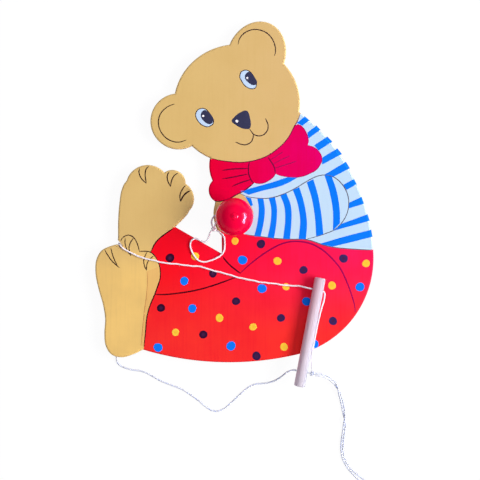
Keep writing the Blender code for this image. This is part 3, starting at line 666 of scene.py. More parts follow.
def drops(places, radius):
    """Round drops of paint as polar grids: a low ring at three quarters of the radius, a dip inside.

    Each drop's edge strays from a circle by a few hundredths, in a way that follows its place.
    """
    places = np.array(places) * MM
    a = np.linspace(0, 2 * math.pi, DOT_COLUMNS, endpoint=False)
    share = np.array([1.0, 0.94, 0.84, 0.72, 0.5, 0.25, 0.06])
    rise = np.array([-SUNK / DOT_HEIGHT, 0.5, 0.92, 1.0, 0.72, 0.58, 0.55])
    phase = (places[:, 0] * DOT_PHASE[0] + places[:, 1] * DOT_PHASE[1])[:, None]
    stray = 1 + DOT_STRAY[0] * np.cos(2 * a + phase) + DOT_STRAY[1] * np.cos(3 * a - 2 * phase)
    size = radius * (1 + DOT_CHANGE * np.sin(3 * phase))
    reach = size[:, :, None] * share[None, :, None] * stray[:, None, :]
    plan = places[:, None, None] + reach[..., None] * circle(a)
    quads = grid_faces(len(share), len(a), True)
    cap = np.arange((len(share) - 1) * len(a), len(share) * len(a))
    marks = np.repeat(share, len(a))
    level = (COAT_TOP + DOT_HEIGHT * rise)[:, None]
    return [(points.reshape(-1, 3), quads, cap, marks) for points in raised(plan, level)]


def draped(points):
    """Points of paint let down on to the rounded edge: a circle's drop by how near the edge they are."""
    plan = points[:, :2]
    near = np.linalg.norm(plan[:, None] - SAWN[None, ::3], axis=2).min(axis=1) < NEAR_EDGE
    away = np.linalg.norm(plan[near][:, None] - FINE_EDGE[None], axis=2).min(axis=1)
    away = np.where(inside(plan[near], SAWN), away, 0) + COAT
    bow = EDGE_RADIUS + COAT
    drop = np.zeros(len(points))
    drop[near] = bow - np.sqrt(bow**2 - np.clip(bow - away, 0, bow) ** 2)
    return points - drop[:, None] * (0, 0, 1)


def painted(name, patches, material):
    """One piece of all the patches of one colour, laid over the coats and riding on the board.

    A patch is its points, its four-cornered faces, its cap if it has one, and for a drop the share of
    the radius at which each point lies.
    """
    counts = np.cumsum([0] + [len(patch[0]) for patch in patches])
    faces = []
    for (_, quads, cap, *_), first in zip(patches, counts):
        faces += (quads + first).tolist()
        if cap is not None:
            faces.append((cap + first).tolist())
    made = new_piece(name, draped(np.vstack([patch[0] for patch in patches])), faces, material)
    made.data.set_sharp_from_angle(angle=PAINT_CREASE)
    if len(patches[0]) == 4:
        marks = made.data.attributes.new("share", "FLOAT", "POINT")
        marks.data.foreach_set("value", np.concatenate([patch[3] for patch in patches]))
    fit(made, "bear", "painted_board")


BACK_STRIPES = [
    ([(57.3, 85.4), (64.6, 91.5)], [(61, 83.5), (67.8, 88.8)]),
    ([(66.4, 76.3), (75.1, 83.1)], [(66.9, 72.2), (77.8, 80.2)]),
    ([(72.8, 64.9), (85.1, 73.1)], [(76, 61.2), (88.7, 69.4)]),
    ([(79.6, 53.5), (94.2, 62.2)], [(79.6, 48.5), (97.4, 58.2)]),
    ([(82.4, 38.5), (101.9, 49.9)], [(87.8, 36.2), (104.7, 45.3)]),
    ([(99.2, 28.9), (109.2, 34.4)], [(101.5, 25.3), (111, 30.8)]),
    ([(104.2, 12.6), (116, 18)], [(103.3, 8.5), (117.8, 13)]),
    ([(96, -6.6), (121.5, 2.1)], [(90.1, -12), (122.9, -2.5)]),
    ([(77.8, -24.3), (100.6, -17.9), (124.7, -12)], [(88.7, -26.6), (105.1, -22.5), (125.6, -17)]),
]
CHEST_STRIPE = ([(5.9, 23.5), (18.7, 27.1), (32.3, 30.8), (43.2, 34.4), (50.5, 36.9)],
                [(12.3, 20.7), (25, 24.4), (39.6, 28), (48.7, 31.7), (56.9, 36.2)])
SLEEVE_STRIPES = [
    ([(10.6, 18.7), (12.8, 14.8), (15.6, 10.3)],
     [(14.2, 17.6), (15.2, 14), (15.9, 10.5)]),
    ([(21.4, 17.6), (22.8, 8.5), (21.8, -4.3), (18.7, -17.5)],
     [(25.5, 17.1), (26.8, 6.6), (25.5, -6.1), (22.8, -17.9)]),
    ([(31.9, 17.6), (34.1, 8.5), (33.7, -4.3), (30.9, -18.4)],
     [(35.9, 18.5), (37.8, 8.5), (37.3, -5.2), (35, -19.7)]),
    ([(42.3, 20.3), (46, 10.3), (46.9, -2.5), (45, -19.7)],
     [(46.4, 21.7), (50.5, 10.3), (51, -4.3), (49.6, -20.2)]),
    ([(53.7, 25.3), (57.8, 13.9), (60.5, -2.5), (59.1, -20.2)],
     [(58.2, 27.1), (62.3, 13.9), (65.1, -4.3), (64.2, -20.2)]),
    ([(66.4, 32.1), (70.5, 19.4), (73.7, 2.1), (75.1, -17.5)],
     [(71, 34.4), (75.1, 20.3), (78.3, 2.1), (80.1, -16.1)]),
    ([(82.4, 38.5), (86.9, 24.8), (90.1, 6.6), (90.1, -11.6)],
     [(87.8, 37.1), (91.9, 24.8), (95.1, 6.6), (95.5, -6.1)]),
]
AZURE = ((17, 132, 255), (14, 126, 253), (8, 112, 236), 0.25, 0.3)
stripes = [band(upper, lower, BACK_SPREAD) for upper, lower in BACK_STRIPES + [CHEST_STRIPE]]
stripes += [band(right, left, SLEEVE_SPREAD) for left, right in SLEEVE_STRIPES]
painted("shirt_stripes", stripes, matt_paint("azure_paint", *AZURE))

YELLOW_DOTS = [(0.5, -21.6), (-35.9, -35.5), (39.1, -39.8), (119.7, -42), (46.9, -63.2), (88.7, -62.1),
               (-13.7, -91.6), (16.8, -99.8), (-53.7, -104.7), (45, -118)]
BLUE_DOTS = [(-45.7, -58), (7.3, -38.9), (25, -64.8), (-38.4, -83), (114.2, -63.4), (65.5, -76.6),
             (-69.6, -118.5), (-3.2, -117.1), (72.8, -115.3)]
DARK_DOTS = [(-58.7, -37), (-19.6, -51.1), (24.1, -24.3), (62.8, -48), (99.2, -37.5), (1.4, -76.4),
             (-66.9, -82.5), (42.3, -91.6), (89.6, -94.4), (-28.4, -106.7), (20, -126.2)]
yellow = matt_paint("yellow_drops", (255, 211, 70), (254, 206, 66), (244, 190, 54), 0.2, 0.4,
                    drop_middle_tone=(250, 196, 54))
blue = matt_paint("blue_drops", *AZURE, drop_middle_tone=(26, 120, 244))
navy = matt_paint("navy_drops", (54, 10, 36), (60, 46, 106), (42, 22, 54), 0.2, 0.4, drop_middle_tone=(78, 36, 78))
painted("yellow_dots", drops(YELLOW_DOTS, 0.93 * DOT_RADIUS), yellow)
painted("blue_dots", drops(BLUE_DOTS, 1.1 * DOT_RADIUS), blue)
painted("dark_dots", drops(DARK_DOTS, 1.04 * DOT_RADIUS), navy)


# The face
# Eyes, nose and highlights, filled in with a small round brush in three layers: a dark outline,
# pale blue over it, then the navy pupil with a white highlight.
EYE_LINE = 0.7 * MM
PUPIL_SPREAD = 0.35 * MM
EYE_LAYERS = (0.05 * MM, 0.08 * MM, 0.11 * MM)
EYE_GLINT = 1.0 * MM
NOSE_GLINT = 1.35 * MM
OUTLINE_STEP = 0.8


def closed(points):
    """A smooth closed outline in metres, anticlockwise, through points drawn in millimetres."""
    return anticlockwise(drawn(points, OUTLINE_STEP, True))


RIGHT_EYE = closed([(4.3, 127.7), (5.9, 132.7), (10.5, 134.3), (15, 132.2), (19.6, 124.9), (20.5, 120.4),
                    (19.1, 117.2), (14.6, 116.5), (9.6, 119), (5.9, 124)])
LEFT_EYE = closed([(-35.9, 93.1), (-34.1, 97.6), (-30, 99.5), (-25.9, 98.6), (-21.4, 93.5), (-18.7, 88.5),
                   (-19.1, 84.9), (-22.3, 82.4), (-25.5, 81.9), (-30.5, 84), (-34.1, 88.1)])
RIGHT_PUPIL = closed([(13.7, 132.2), (17.7, 127.7), (20.2, 123.1), (19.4, 120.8), (16.8, 120.4),
                      (12.3, 123.1), (9.6, 126.8), (10.5, 130.4)])
LEFT_PUPIL = closed([(-26.8, 97.2), (-22.3, 94), (-19.3, 89), (-20, 86.3), (-23.2, 84.9), (-27.8, 87.6),
                     (-30.5, 91.7), (-29.6, 95.8)])
NOSE = closed([(10.5, 97.2), (12.2, 96.2), (14.6, 88.5), (14.8, 83), (13.6, 80.6), (8.6, 80.4), (2.3, 83.1),
               (-2.7, 87.6), (-0.5, 91), (5, 95.4)])
EYES = (RIGHT_EYE, LEFT_EYE)
PUPILS = (RIGHT_PUPIL, LEFT_PUPIL)
brown = matt_paint("brown_line_paint", (54, 32, 34), (60, 38, 52), (44, 26, 30))
eye_white = matt_paint("eye_white_paint", (204, 229, 253), (204, 229, 253), (190, 218, 249), 0.2, 0.2)
pupil = matt_paint("pupil_paint", (58, 60, 88), (60, 62, 94), (46, 48, 70))
white = matt_paint("white_paint", (252, 252, 253), (252, 252, 253), (242, 244, 249), 0.1, 0.1)
painted("eye_outlines", [daub(eye, EYE_LAYERS[0]) for eye in EYES], brown)
painted("eye_whites", [daub(spread(eye, -EYE_LINE), EYE_LAYERS[1]) for eye in EYES], eye_white)
painted("pupils", [daub(spread(one, PUPIL_SPREAD), EYE_LAYERS[2]) for one in PUPILS], pupil)
painted("nose", [daub(NOSE, EYE_LAYERS[2])], pupil)
glints = drops([(11.6, 126.8), (-28.5, 92.2)], EYE_GLINT) + drops([(2.1, 87.4)], NOSE_GLINT)
painted("glints", [(points + (0, 0, EYE_LAYERS[2]), quads, cap) for points, quads, cap, _ in glints], white)


# The brush lines
# Single strokes of a thin brush round the ears, mouth, claws, feet, bow, sleeve and trousers.
# They swell a little in the middle and run out at both ends.
LINE_HEIGHT = 0.12 * MM
LINE_SWAY = 0.05
LINE_STEP = 0.7
LINE_COLUMNS = 5
SIDE_INSET = 0.2 * MM
SIDE_HEIGHT = 0.02 * MM


def aside(path, by):
    """A path moved to its left in plan, by a distance for each of its points."""
    way = unit(np.gradient(path[:, :2], axis=0))
    moved = path.copy()
    moved[:, :2] += by[:, None] * np.stack([-way[:, 1], way[:, 0]], axis=1)
    return moved


def stroke(points, width, taper=0.45):
    """A brush line: a crowned strip carried along a smooth curve, as far as it is on the board.

    Across it the height is a parabola. Along it the width, in millimetres, falls to the taper's
    share at the ends, by the sixth power of the way from the middle, and sways by a twentieth.
    """
    path = drawn(points, LINE_STEP)
    path = path[inside(path, SAWN)]
    u = np.linspace(-1, 1, len(path))
    sway = 1 + LINE_SWAY * np.sin(9 * u + 40 * path[0, 0])
    half = width * MM / 2 * (1 - (1 - taper) * np.abs(u) ** 6) * sway
    v = np.linspace(-1, 1, LINE_COLUMNS)
    plan = np.stack([aside(path, share * half) for share in v], axis=1)
    level = COAT_TOP - SUNK + (LINE_HEIGHT + SUNK) * (1 - v**2)
    return raised(plan, level).reshape(-1, 3), grid_faces(len(path), len(v), False)[:, ::-1], None


def strokes(lines, width, taper=0.45):
    """Brush lines of one width."""
    return [stroke(line, width, taper) for line in lines]


FACE_LINES = [
    [(3.2, 157.2), (5, 163.2), (10.5, 168.6), (18.7, 170.9), (26.8, 169.1), (32.3, 165), (36.4, 157.7),
     (37.3, 151.3), (36.4, 146.8)],
    [(-54.6, 103.1), (-60.5, 100.8), (-66.9, 94.9), (-69.2, 87.6), (-67.8, 79.4), (-62.3, 72.2),
     (-55.1, 68.7), (-49.6, 68.5), (-43.7, 70.3)],
    [(13.7, 80.4), (15.9, 77.2), (17.7, 75.3), (22.3, 74), (26.8, 75.3), (30, 79.4), (30.5, 84),
     (28.2, 89.9)],
    [(17.3, 76.3), (16.8, 72.2), (15, 68.5), (10.5, 66), (5.9, 66.4), (0.9, 68.5)],
]
UPPER_CLAWS = [
    [(-86.3, 44.4), (-87, 41.2), (-85.1, 35.8), (-80.5, 30.8)],
    [(-77.8, 46.4), (-80.1, 44.4), (-81.3, 39.4), (-80.3, 30.8)],
    [(-59.4, 41.3), (-61, 38.5), (-61, 33.9), (-58.4, 28)],
    [(-51.6, 40.4), (-55.1, 37.6), (-57.3, 33), (-58.2, 27.6)],
    [(-44.6, 29.3), (-47.8, 24.8), (-49.6, 20.3), (-49.3, 14.4)],
    [(-40, 24.3), (-43.2, 22.6), (-46.9, 18.9), (-49.1, 14.4)],
]
LOWER_CLAWS = [
    [(-118.2, -29.4), (-116, -33.4), (-111.5, -39.8), (-104.7, -46)],
    [(-112.6, -27.8), (-111.5, -32.5), (-109.2, -38.9), (-106.5, -44.3)],
    [(-99.5, -18.8), (-99.6, -23.4), (-98.3, -28.8), (-94.2, -35.2)],
    [(-91.9, -18.8), (-94.6, -22.9), (-96, -27.9), (-94.2, -35.2)],
    [(-79.6, -31.6), (-81.4, -35.2), (-82.6, -39.8), (-81.9, -44.3), (-80.1, -48.4)],
    [(-73.7, -35.2), (-77.8, -38.9), (-79.6, -42.5), (-80.1, -48)],
]
LOWER_TOES = [(-103.6, -22), (-102.4, -19.3), (-98.7, -16.7), (-96, -16.3), (-92.4, -17.9), (-89.6, -21.6),
              (-87.8, -26.1), (-86.5, -31.1)]
LOWER_TOES_INNER = [(-86.5, -31.1), (-81.4, -30.9), (-76.9, -31.6), (-73.3, -34.3), (-70.5, -38.4)]
FOOT_EDGE = [*LOWER_FOOT_LINE[2:-2], (-82.3, -118)]
LEG_EDGE = [(-55.8, -10), *UPPER_FOOT_LINE[1:]]
FOOT_CREASE = [(-79.6, -48.9), (-79.2, -57.1), (-80.1, -70.7), (-81.9, -84.4), (-83.3, -98), (-85.1, -117)]
LEG_LINES = [
    [(-72.3, -70.3), (-63.2, -70.3), (-49.6, -68.9), (-35.9, -66.6), (-22.3, -63), (-11.4, -59.3),
     (2.3, -54.3)],
    [(-10.8, -35.6), (-7.7, -39.8), (-2.3, -45.2), (5.5, -51.1)],
]
HAUNCH_LINE = [
    (5.5, -50.7), (12.3, -44.3), (21.4, -37), (30.5, -30.7), (41.4, -24.8), (50.5, -22.3), (56.9, -22),
    (65.1, -22.9), (73.3, -25.7), (81.4, -30.7), (88.7, -37.5), (96, -46.1), (101.5, -57.1), (106, -68.9),
    (109.2, -79.8), (109.9, -86),
]
SLEEVE_LINE = [
    (5, 21.7), (10.5, 19.2), (18.7, 17.6), (27.8, 17.1), (36.9, 18.5), (46, 21.7), (55.1, 26.2),
    (64.2, 31.7), (71.4, 35.8), (77.8, 38), (83.3, 38.5), (88.7, 37.3), (94.2, 33.9), (98.7, 28.9),
    (102.4, 22.1), (104, 13.9), (103.3, 6.6), (100.6, -0.6), (96, -7), (90.5, -11.6), (83.3, -14.7),
    (73.3, -17.9), (65.1, -20),
]
LEFT_FOLDS = [
    [(-11.4, 42.6), (-0.5, 44), (12.3, 44.4)],
    [(-11.4, 34.9), (0.5, 36.9), (12.3, 39.4)],
    [(-2.3, 28), (5, 31.2), (15, 34.4)],
]
RIGHT_FOLDS = [
    [(34.6, 48), (41.4, 51.7), (50.5, 56)],
    [(35.9, 44.4), (46, 47.6), (56.9, 51.2)],
    [(32.3, 52.1), (44.1, 59.4)],
]
BOW_KNOT_LEFT = [(13.7, 50.8), (12.7, 44.9), (13.2, 38.5), (15.9, 32.6), (17.7, 31.2)]
BOW_KNOT_RIGHT = [(37.3, 39.4), (36.4, 44.9), (34.1, 49.4), (30.5, 54.4)]
WAIST_LINE = WAIST[WAIST[:, 0] > 9 * MM][::4] / MM
WING_LINES = [edge[::3] / MM for edge in (BOW_TOP_WING, BOW_LOW_WING, BOW_KNOT_LOW)]
FOOT_SIDE = np.vstack([drawn(FOOT_CREASE), drawn(FOOT_EDGE[1:])[::-1]])
painted("face_lines", strokes(FACE_LINES, 1.15) + strokes(UPPER_CLAWS[:5], 1.2, 0.3)
        + strokes(UPPER_CLAWS[5:], 1.7, 0.3) + strokes(LOWER_CLAWS, 1.1, 0.3)
        + strokes([LOWER_TOES, LOWER_TOES_INNER], 1.05), brown)
painted("foot_side", [daub(spread(FOOT_SIDE, -SIDE_INSET), SIDE_HEIGHT)],
        matt_paint("shaded_tan_paint", (240, 194, 116), (240, 194, 116), (222, 174, 100), 0.3, 0.45))
painted("foot_crease", [stroke(FOOT_CREASE, 0.7)],
        matt_paint("crease_paint", (206, 148, 88), (206, 148, 88), (192, 132, 78), 0.3, 0.4))
painted("leg_lines", strokes(LEG_LINES, 1.5) + strokes([FOOT_EDGE, LEG_EDGE], 1.3),
        matt_paint("wine_line_paint", (62, 6, 20), (78, 8, 40), (52, 4, 16)))
painted("haunch_line", [stroke(HAUNCH_LINE, 1.5)],
        matt_paint("purple_line_paint", (130, 4, 56), (160, 10, 92), (120, 6, 66)))
painted("sleeve_lines", [stroke(SLEEVE_LINE, 0.95), stroke(WAIST_LINE, 1.0)],
        matt_paint("grey_line_paint", (92, 84, 98), (98, 96, 116), (80, 74, 90)))
painted("bow_lines", [stroke(BOW_LEFT_WING[::3] / MM, 1.2), stroke(CHIN[::4] / MM, 1.0)]
        + strokes([BOW_KNOT_LEFT, BOW_KNOT_RIGHT], 1.3) + strokes(LEFT_FOLDS, 1.25, 0.15),
        matt_paint("plum_line_paint", (100, 6, 30), (128, 22, 84), (88, 4, 30)))
painted("bow_folds", strokes(WING_LINES, 0.8) + strokes(RIGHT_FOLDS, 1.1, 0.15),
        matt_paint("rose_line_paint", (164, 6, 62), (186, 26, 104), (150, 6, 66)))


# The ball and its pin
# A turned wooden ball under glossy red lacquer, threaded on a pin that is glued into the board.
# The pin's low head was painted over with the ball and shows as a nub in a faint ring.
BALL_LOW, BALL_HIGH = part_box("ball")
BALL_RADIUS = (BALL_HIGH.x - BALL_LOW.x) / 2
BALL_MIDDLE = BALL_LOW.z + BALL_RADIUS
PIN_LOW, PIN_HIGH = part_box("ball_pin")
BORE = 2.3 * MM
SEAT_DEPTH = 1.2 * MM
HEAD_RADIUS = 3.4 * MM
HEAD_GAP = 0.12 * MM
NUB_HEIGHT = 0.7 * MM
NUB_RADIUS = 1.55 * MM
NUB_TURN = 0.47 * math.pi
NUB_FULLNESS = 0.7
DOME_HEIGHT = 0.66 * MM
DOME_WIDTH = 0.52
HEAD_TOP = PIN_HIGH.z - NUB_HEIGHT
HEAD_FOOT = HEAD_TOP - 1.1 * MM
SHANK_RADIUS = 2.0 * MM
TURNED_CREASE = math.radians(50)
LACQUER_ROUGHNESS = 0.13
LACQUER_CLOUDS = 90.0
TURNING_RINGS = {"Scale": 420.0, "Distortion": 1.5, "Detail": 2.0}


def tube_faces(rows, columns):
    """The faces of a tube: a grid that closes round, and a flat cap at either end."""
    last = (rows - 1) * columns
    caps = [list(range(columns))[::-1], list(range(last, last + columns))]
    return grid_faces(rows, columns, True).tolist() + caps


def lathe(name, profile, columns, bored, material):
    """A turned form: a profile of radius and height, carried round the pin's axis.

    A bored form's profile runs on from its last point to its first; any other has flat ends.
    """
    radius, height = np.array(profile).T[:, :, None]
    a = np.linspace(0, 2 * math.pi, columns, endpoint=False)
    points = raised(radius[..., None] * circle(a), height)
    rows = len(radius)
    faces = grid_faces(rows, columns, True, True).tolist() if bored else tube_faces(rows, columns)
    made = new_piece(name, points, faces, material)
    made.data.set_sharp_from_angle(angle=TURNED_CREASE)
    return made


def red_lacquer(name, drift):
    """Gloss lacquer, a little uneven, with faint turning rings under it."""
    material, tree, shader = new_material(name)
    place = own_place(tree)
    uneven = noise(place, LACQUER_CLOUDS, detail=3.0)
    rings = node(tree, "TexWave", {"Vector": place, **TURNING_RINGS}, bands_direction="Z").outputs["Fac"]
    colour = mixed(uneven, (252, 0, 56), (255, 2, 68))
    rough = ranged(uneven, to=(LACQUER_ROUGHNESS, LACQUER_ROUGHNESS + drift))
    height = calc("MULTIPLY_ADD", rings, 0.03, uneven)
    dress(shader, colour, rough, height, relief=0.005, gloss=0.14, depth=0.3 * MM)
    shader.inputs["Specular Tint"].default_value = (1.0, 0.75, 1.0, 1.0)
    shader.inputs["IOR"].default_value = 1.42
    return material


def turned_ball():
    """The ball's skin from its bore to the seat of the pin's head, and the seat."""
    lip = HEAD_RADIUS + HEAD_GAP
    sweep = np.linspace(-math.acos(BORE / BALL_RADIUS), math.acos(lip / BALL_RADIUS), 64)
    skin = BALL_RADIUS * circle(sweep) + (0, BALL_MIDDLE)
    seat = BALL_MIDDLE + BALL_RADIUS - SEAT_DEPTH
    return np.vstack([skin, [(lip, seat), (BORE, seat)]])


def headed_pin():
    """The pin's shank, the dome of its head, which falls off by a square, and the nub on it."""
    shank = [(SHANK_RADIUS, PIN_LOW.z), (SHANK_RADIUS, HEAD_FOOT), (HEAD_RADIUS, HEAD_FOOT)]
    out = np.linspace(0, 1, 10)
    fallen = DOME_HEIGHT * (1 - out) ** 2
    dome = np.stack([HEAD_RADIUS * (1 - DOME_WIDTH * out), HEAD_TOP - fallen], axis=1)
    turn = np.linspace(0, NUB_TURN, 9)
    round_nub = NUB_RADIUS * np.cos(turn) ** NUB_FULLNESS
    nub = np.stack([round_nub, HEAD_TOP + NUB_HEIGHT * np.sin(turn)], axis=1)
    return np.vstack([shank, dome, nub])


ball = lathe("ball_gloss", turned_ball(), columns=96, bored=True,
             material=red_lacquer("red_lacquer", drift=0.05))
fit(ball, "ball", "red_lacquer", "ball")
pin = lathe("pin_gloss", headed_pin(), columns=48, bored=False,
            material=red_lacquer("red_lacquer_pin", drift=0.16))
fit(pin, "bear", "red_lacquer", "ball_pin")


# The handle
# A length of pale beech dowel with lightly broken ends and two cross holes for the cord. It is
# sanded and left bare, with fine straight grain along its length.
HANDLE_TURN = math.radians(-10.95)
HANDLE_RADIUS = 5 * MM
HANDLE_LENGTH = 100 * MM
HANDLE_CREASE = math.radians(30)
DOWEL_GRAIN = (1500, 40, 1500)
DOWEL_PORES = (2600, 330, 2600)
# Painted light on the dowel: left and right side at the upper end, then at the lower end.
DOWEL_PAINTED_LIGHT_TONES = (((250, 190, 202), (188, 195, 210)), ((255, 241, 248), (202, 209, 224)))


def bare_dowel():
    """Pale wood with grain along the dowel and short dark pores; its lower end is painted palest.

    Its tone goes evenly from the left side to the right one and from the upper end to the lower.
    That is painted light: the left side rosy with the red trousers' reflection, the right side
    darker with shade, and the lower end pale with light thrown up from the table.
    """
    material, tree, shader = new_material("bare_dowel")
    upright = {"Vector": own_place(tree), "Rotation": (0, 0, -HANDLE_TURN)}
    turned = node(tree, "Mapping", upright).outputs[0]
    grain = noise(turned, DOWEL_GRAIN, detail=4.0)
    pores = noise(turned, DOWEL_PORES, detail=1.0)
    near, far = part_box("handle_dowel")
    centre = (near + far) / 2
    axis = centre.x * math.cos(HANDLE_TURN) + centre.y * math.sin(HANDLE_TURN)
    halfway = centre.y * math.cos(HANDLE_TURN) - centre.x * math.sin(HANDLE_TURN)
    at = apart(turned)
    across = ranged(at["X"], (axis - HANDLE_RADIUS, axis + HANDLE_RADIUS))
    down = ranged(at["Y"], (halfway + HANDLE_LENGTH / 2, halfway - HANDLE_LENGTH / 2))
    painted_light_ends = [mixed(across, left, right) for left, right in DOWEL_PAINTED_LIGHT_TONES]
    fibre = mixed(ranged(grain, (0.3, 0.7)), (243, 234, 234), (255, 255, 255))
    grained = node(tree, "Mix", {"Factor": 1.0, "A": mixed(down, *painted_light_ends), "B": fibre}, data_type="RGBA",
                   blend_type="MULTIPLY").outputs["Result"]
    colour = mixed(ranged(pores, (0.66, 0.74), (0, 0.4)), grained, (190, 160, 168))
    dress(shader, colour, ranged(grain, to=(0.5, 0.7)), grain, relief=0.2, gloss=0.02)
    return material


def merged_copy(name, source, material):
    """A copy of a solid with its corners merged, smooth except along its sharp edges."""
    mesh = bpy.data.meshes.new(name)
    sewn = merged(source.data)
    sewn.to_mesh(mesh)
    sewn.free()
    mesh.materials.clear()
    mesh.materials.append(material)
    mesh.shade_smooth()
    mesh.set_sharp_from_angle(angle=HANDLE_CREASE)
    return put(name, mesh)


dowel = merged_copy("dowel_handle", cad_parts["handle_dowel"], bare_dowel())
fit(dowel, "handle", "bare_wood", "handle_dowel")


# The cords
# White cotton cord of three twisted strands, about a millimetre and a half thick. One length goes
# through the handle, round the foot and back, darker as painted shade over the table; a short one
# is a loop.
CORD_RADIUS = 0.78 * MM
CORD_LAY = 7.5 * MM
RING_STEP = 0.45 * MM
STRANDS = 3
PER_STRAND = 6
GROOVE_DEPTH = 0.07
COTTON_FIBRES = (60, 900, 1)
SEAT_GAP = 0.3 * MM
ON_FLOOR = CORD_RADIUS + 0.5 * SEAT_GAP
ON_BOARD = BOARD_FRONT + SEAT_GAP + CORD_RADIUS
IN_GROOVE = SEAT_GAP + CORD_RADIUS
UP = np.array([0, 0, 1])


def cotton(name, dull, bright, groove_shade, soaks):
    """White cotton: fine fibres along the twist, with painted shade, a little grey, in the grooves between
    strands.
    """
    material, tree, shader = new_material(name)
    fibre = noise(node(tree, "TexCoord").outputs["UV"], COTTON_FIBRES, detail=3.0)
    groove = node(tree, "Attribute", attribute_name="groove").outputs["Fac"]
    fleece = mixed(fibre, dull, bright)
    # Painted shade: the colour greys towards the groove shade in the grooves between strands.
    colour = mixed(ranged(groove, (0.35, 1), (0, 0.15)), fleece, groove_shade)
    rough = ranged(fibre, to=(0.8, 0.95))
    dress(shader, colour, rough, fibre, relief=0.4, gloss=0.02, depth=0.1 * MM)
    shader.inputs["Sheen Weight"].default_value = 0.15
    shader.inputs["Subsurface Weight"].default_value = soaks
    shader.inputs["Subsurface Radius"].default_value = (1.0, 1.0, 1.0)
    shader.inputs["Subsurface Scale"].default_value = CORD_RADIUS
    return material


# LIT_COTTON is the white cord as it is lit on the board; SHADED_COTTON is the same cotton with painted
# shade, greyer and bluer, for the cord that lies over the table.
LIT_COTTON = cotton("white_cotton", (252, 246, 255), (255, 250, 255), (242, 234, 250), soaks=0.1)
SHADED_COTTON = cotton("cotton_with_painted_shade", (212, 219, 235), (224, 230, 243), (203, 209, 226), soaks=1.0)


def unroll(made, columns, along):
    """A UV map of a tube: u goes from 0 to 1 round it and v is the length along it, in metres."""
    cell = np.arange((len(along) - 1) * columns)
    u = ((cell % columns)[:, None] + [0, 1, 1, 0]) / columns
    v = along[(cell // columns)[:, None] + [0, 0, 1, 1]]
    flat = np.zeros((len(made.data.loops), 2))
    flat[:4 * len(cell)] = np.stack([u, v], axis=-1).reshape(-1, 2)
    made.data.uv_layers.new(name="unrolled").data.foreach_set("uv", flat.ravel())


def twisted(name, path, over=UP, radius=CORD_RADIUS, yarn=LIT_COTTON):
    """A cord of twisted strands: a three-lobed ring that turns as it is carried along the path.

    The ring's radius falls in the grooves by the sixth power of a cosine. The path never runs
    along the direction over, which sets where the turning starts.
    """
    way = unit(np.gradient(path, axis=0))
    side = unit(np.cross(over, way))
    up = np.cross(way, side)
    along = measured(path)
    rows = len(path)
    count = STRANDS * PER_STRAND
    lobe = np.linspace(0, 2 * math.pi, count, endpoint=False)
    groove = np.cos(STRANDS * lobe / 2) ** 2
    reach = radius * (1 - GROOVE_DEPTH * groove**3)
    turn = lobe + 2 * math.pi * along[:, None] / CORD_LAY
    points = path[:, None] + (reach[:, None] * circle(turn)) @ np.stack([side, up], axis=1)
    made = new_piece(name, points, tube_faces(rows, count), yarn)
    marks = made.data.attributes.new("groove", "FLOAT", "POINT")
    marks.data.foreach_set("value", np.tile(groove, rows))
    unroll(made, count, along)
    return made


def lay(name, path, over=UP, yarn=LIT_COTTON):
    """A stretch of cord along a path, not yet riding on anything."""
    made = twisted(name, path, over, yarn=yarn)
    return made


def fasten(body, *pairs):
    """Pieces of cord that ride on a body, each with the solid that it stands for."""
    for made, solid in pairs:
        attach(made, body)
        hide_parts(solid)


def stretch(made, solid):
    """A piece of cord that goes from one body to another and stands for a solid."""
    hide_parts(solid)
    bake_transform(made)


def with_heights(points, heights):
    """Points drawn in plan, in millimetres, with their heights in metres."""
    return raised(np.array(points) * MM, heights)


def route(*stretches):
    """A smooth path through stretches of points, with a point for each ring of the cord."""
    return smooth(np.vstack(stretches), RING_STEP)


# The part of the cord in the handle
# It goes in at the upper hole, comes out on the right, runs down the dowel's side and is tied
# beside the lower hole to the end that comes through it.
HANDLE_MIDDLE = np.array([68.2 * MM, -104.1 * MM, BOARD_FRONT + SEAT_GAP + HANDLE_RADIUS])
TOP_HOLE = 38.8 * MM
LOW_HOLE = -36.4 * MM
BEND_RADIUS = 4 * CORD_RADIUS
BEND_INSIDE = 1.3 * MM
KNOT_RADIUS = 2.3 * MM
KNOT_LENGTH = 5.4 * MM
KNOT_STRAND = 0.85 * MM
KNOT_TURNS = 2.4
KNOT_RINGS = 90
KNOT_OUT = HANDLE_RADIUS + 2 * CORD_RADIUS + KNOT_LENGTH / 2
KNOT_TOP = LOW_HOLE + KNOT_RADIUS + SEAT_GAP
RUN_SHARES = np.array([0.12, 0.20, 0.32, 0.46, 0.60, 0.74, 0.86])
RUN_OFF = np.array([1.4, 0.8, 0.3, 0.1, 0.1, 0.3, 1.1]) * MM
RUN_SUNK = np.array([0.25, 0.60, 0.92, 1.0, 1.0, 0.85, 0.40])


def from_handle(points):
    """Points given from the dowel's middle, +Y along it, put in place."""
    c, s = math.cos(HANDLE_TURN), math.sin(HANDLE_TURN)
    return np.array(points) @ np.array([[c, s, 0], [-s, c, 0], [0, 0, 1]]) + HANDLE_MIDDLE


def wrapped_knot(name, centre, way, yarn=LIT_COTTON):
    """A tight knot: a strand wound over twice round the cord, drawn in by a power at both ends."""
    t = np.linspace(0, 1, KNOT_RINGS)
    way = unit(np.array(way))
    side = unit(np.cross(UP, way))
    reach = (KNOT_RADIUS - KNOT_STRAND) * np.clip(4.5 * np.minimum(t, 1 - t), 0.15, 1) ** 0.6
    a = 2 * math.pi * KNOT_TURNS * t
    length = (KNOT_LENGTH - 2 * KNOT_STRAND) * (t - 0.5)
    wound = np.column_stack([reach[:, None] * circle(a), length])
    path = np.array(centre) + wound @ np.stack([side, np.cross(way, side), way])
    return twisted(name, path, way, KNOT_STRAND, yarn)


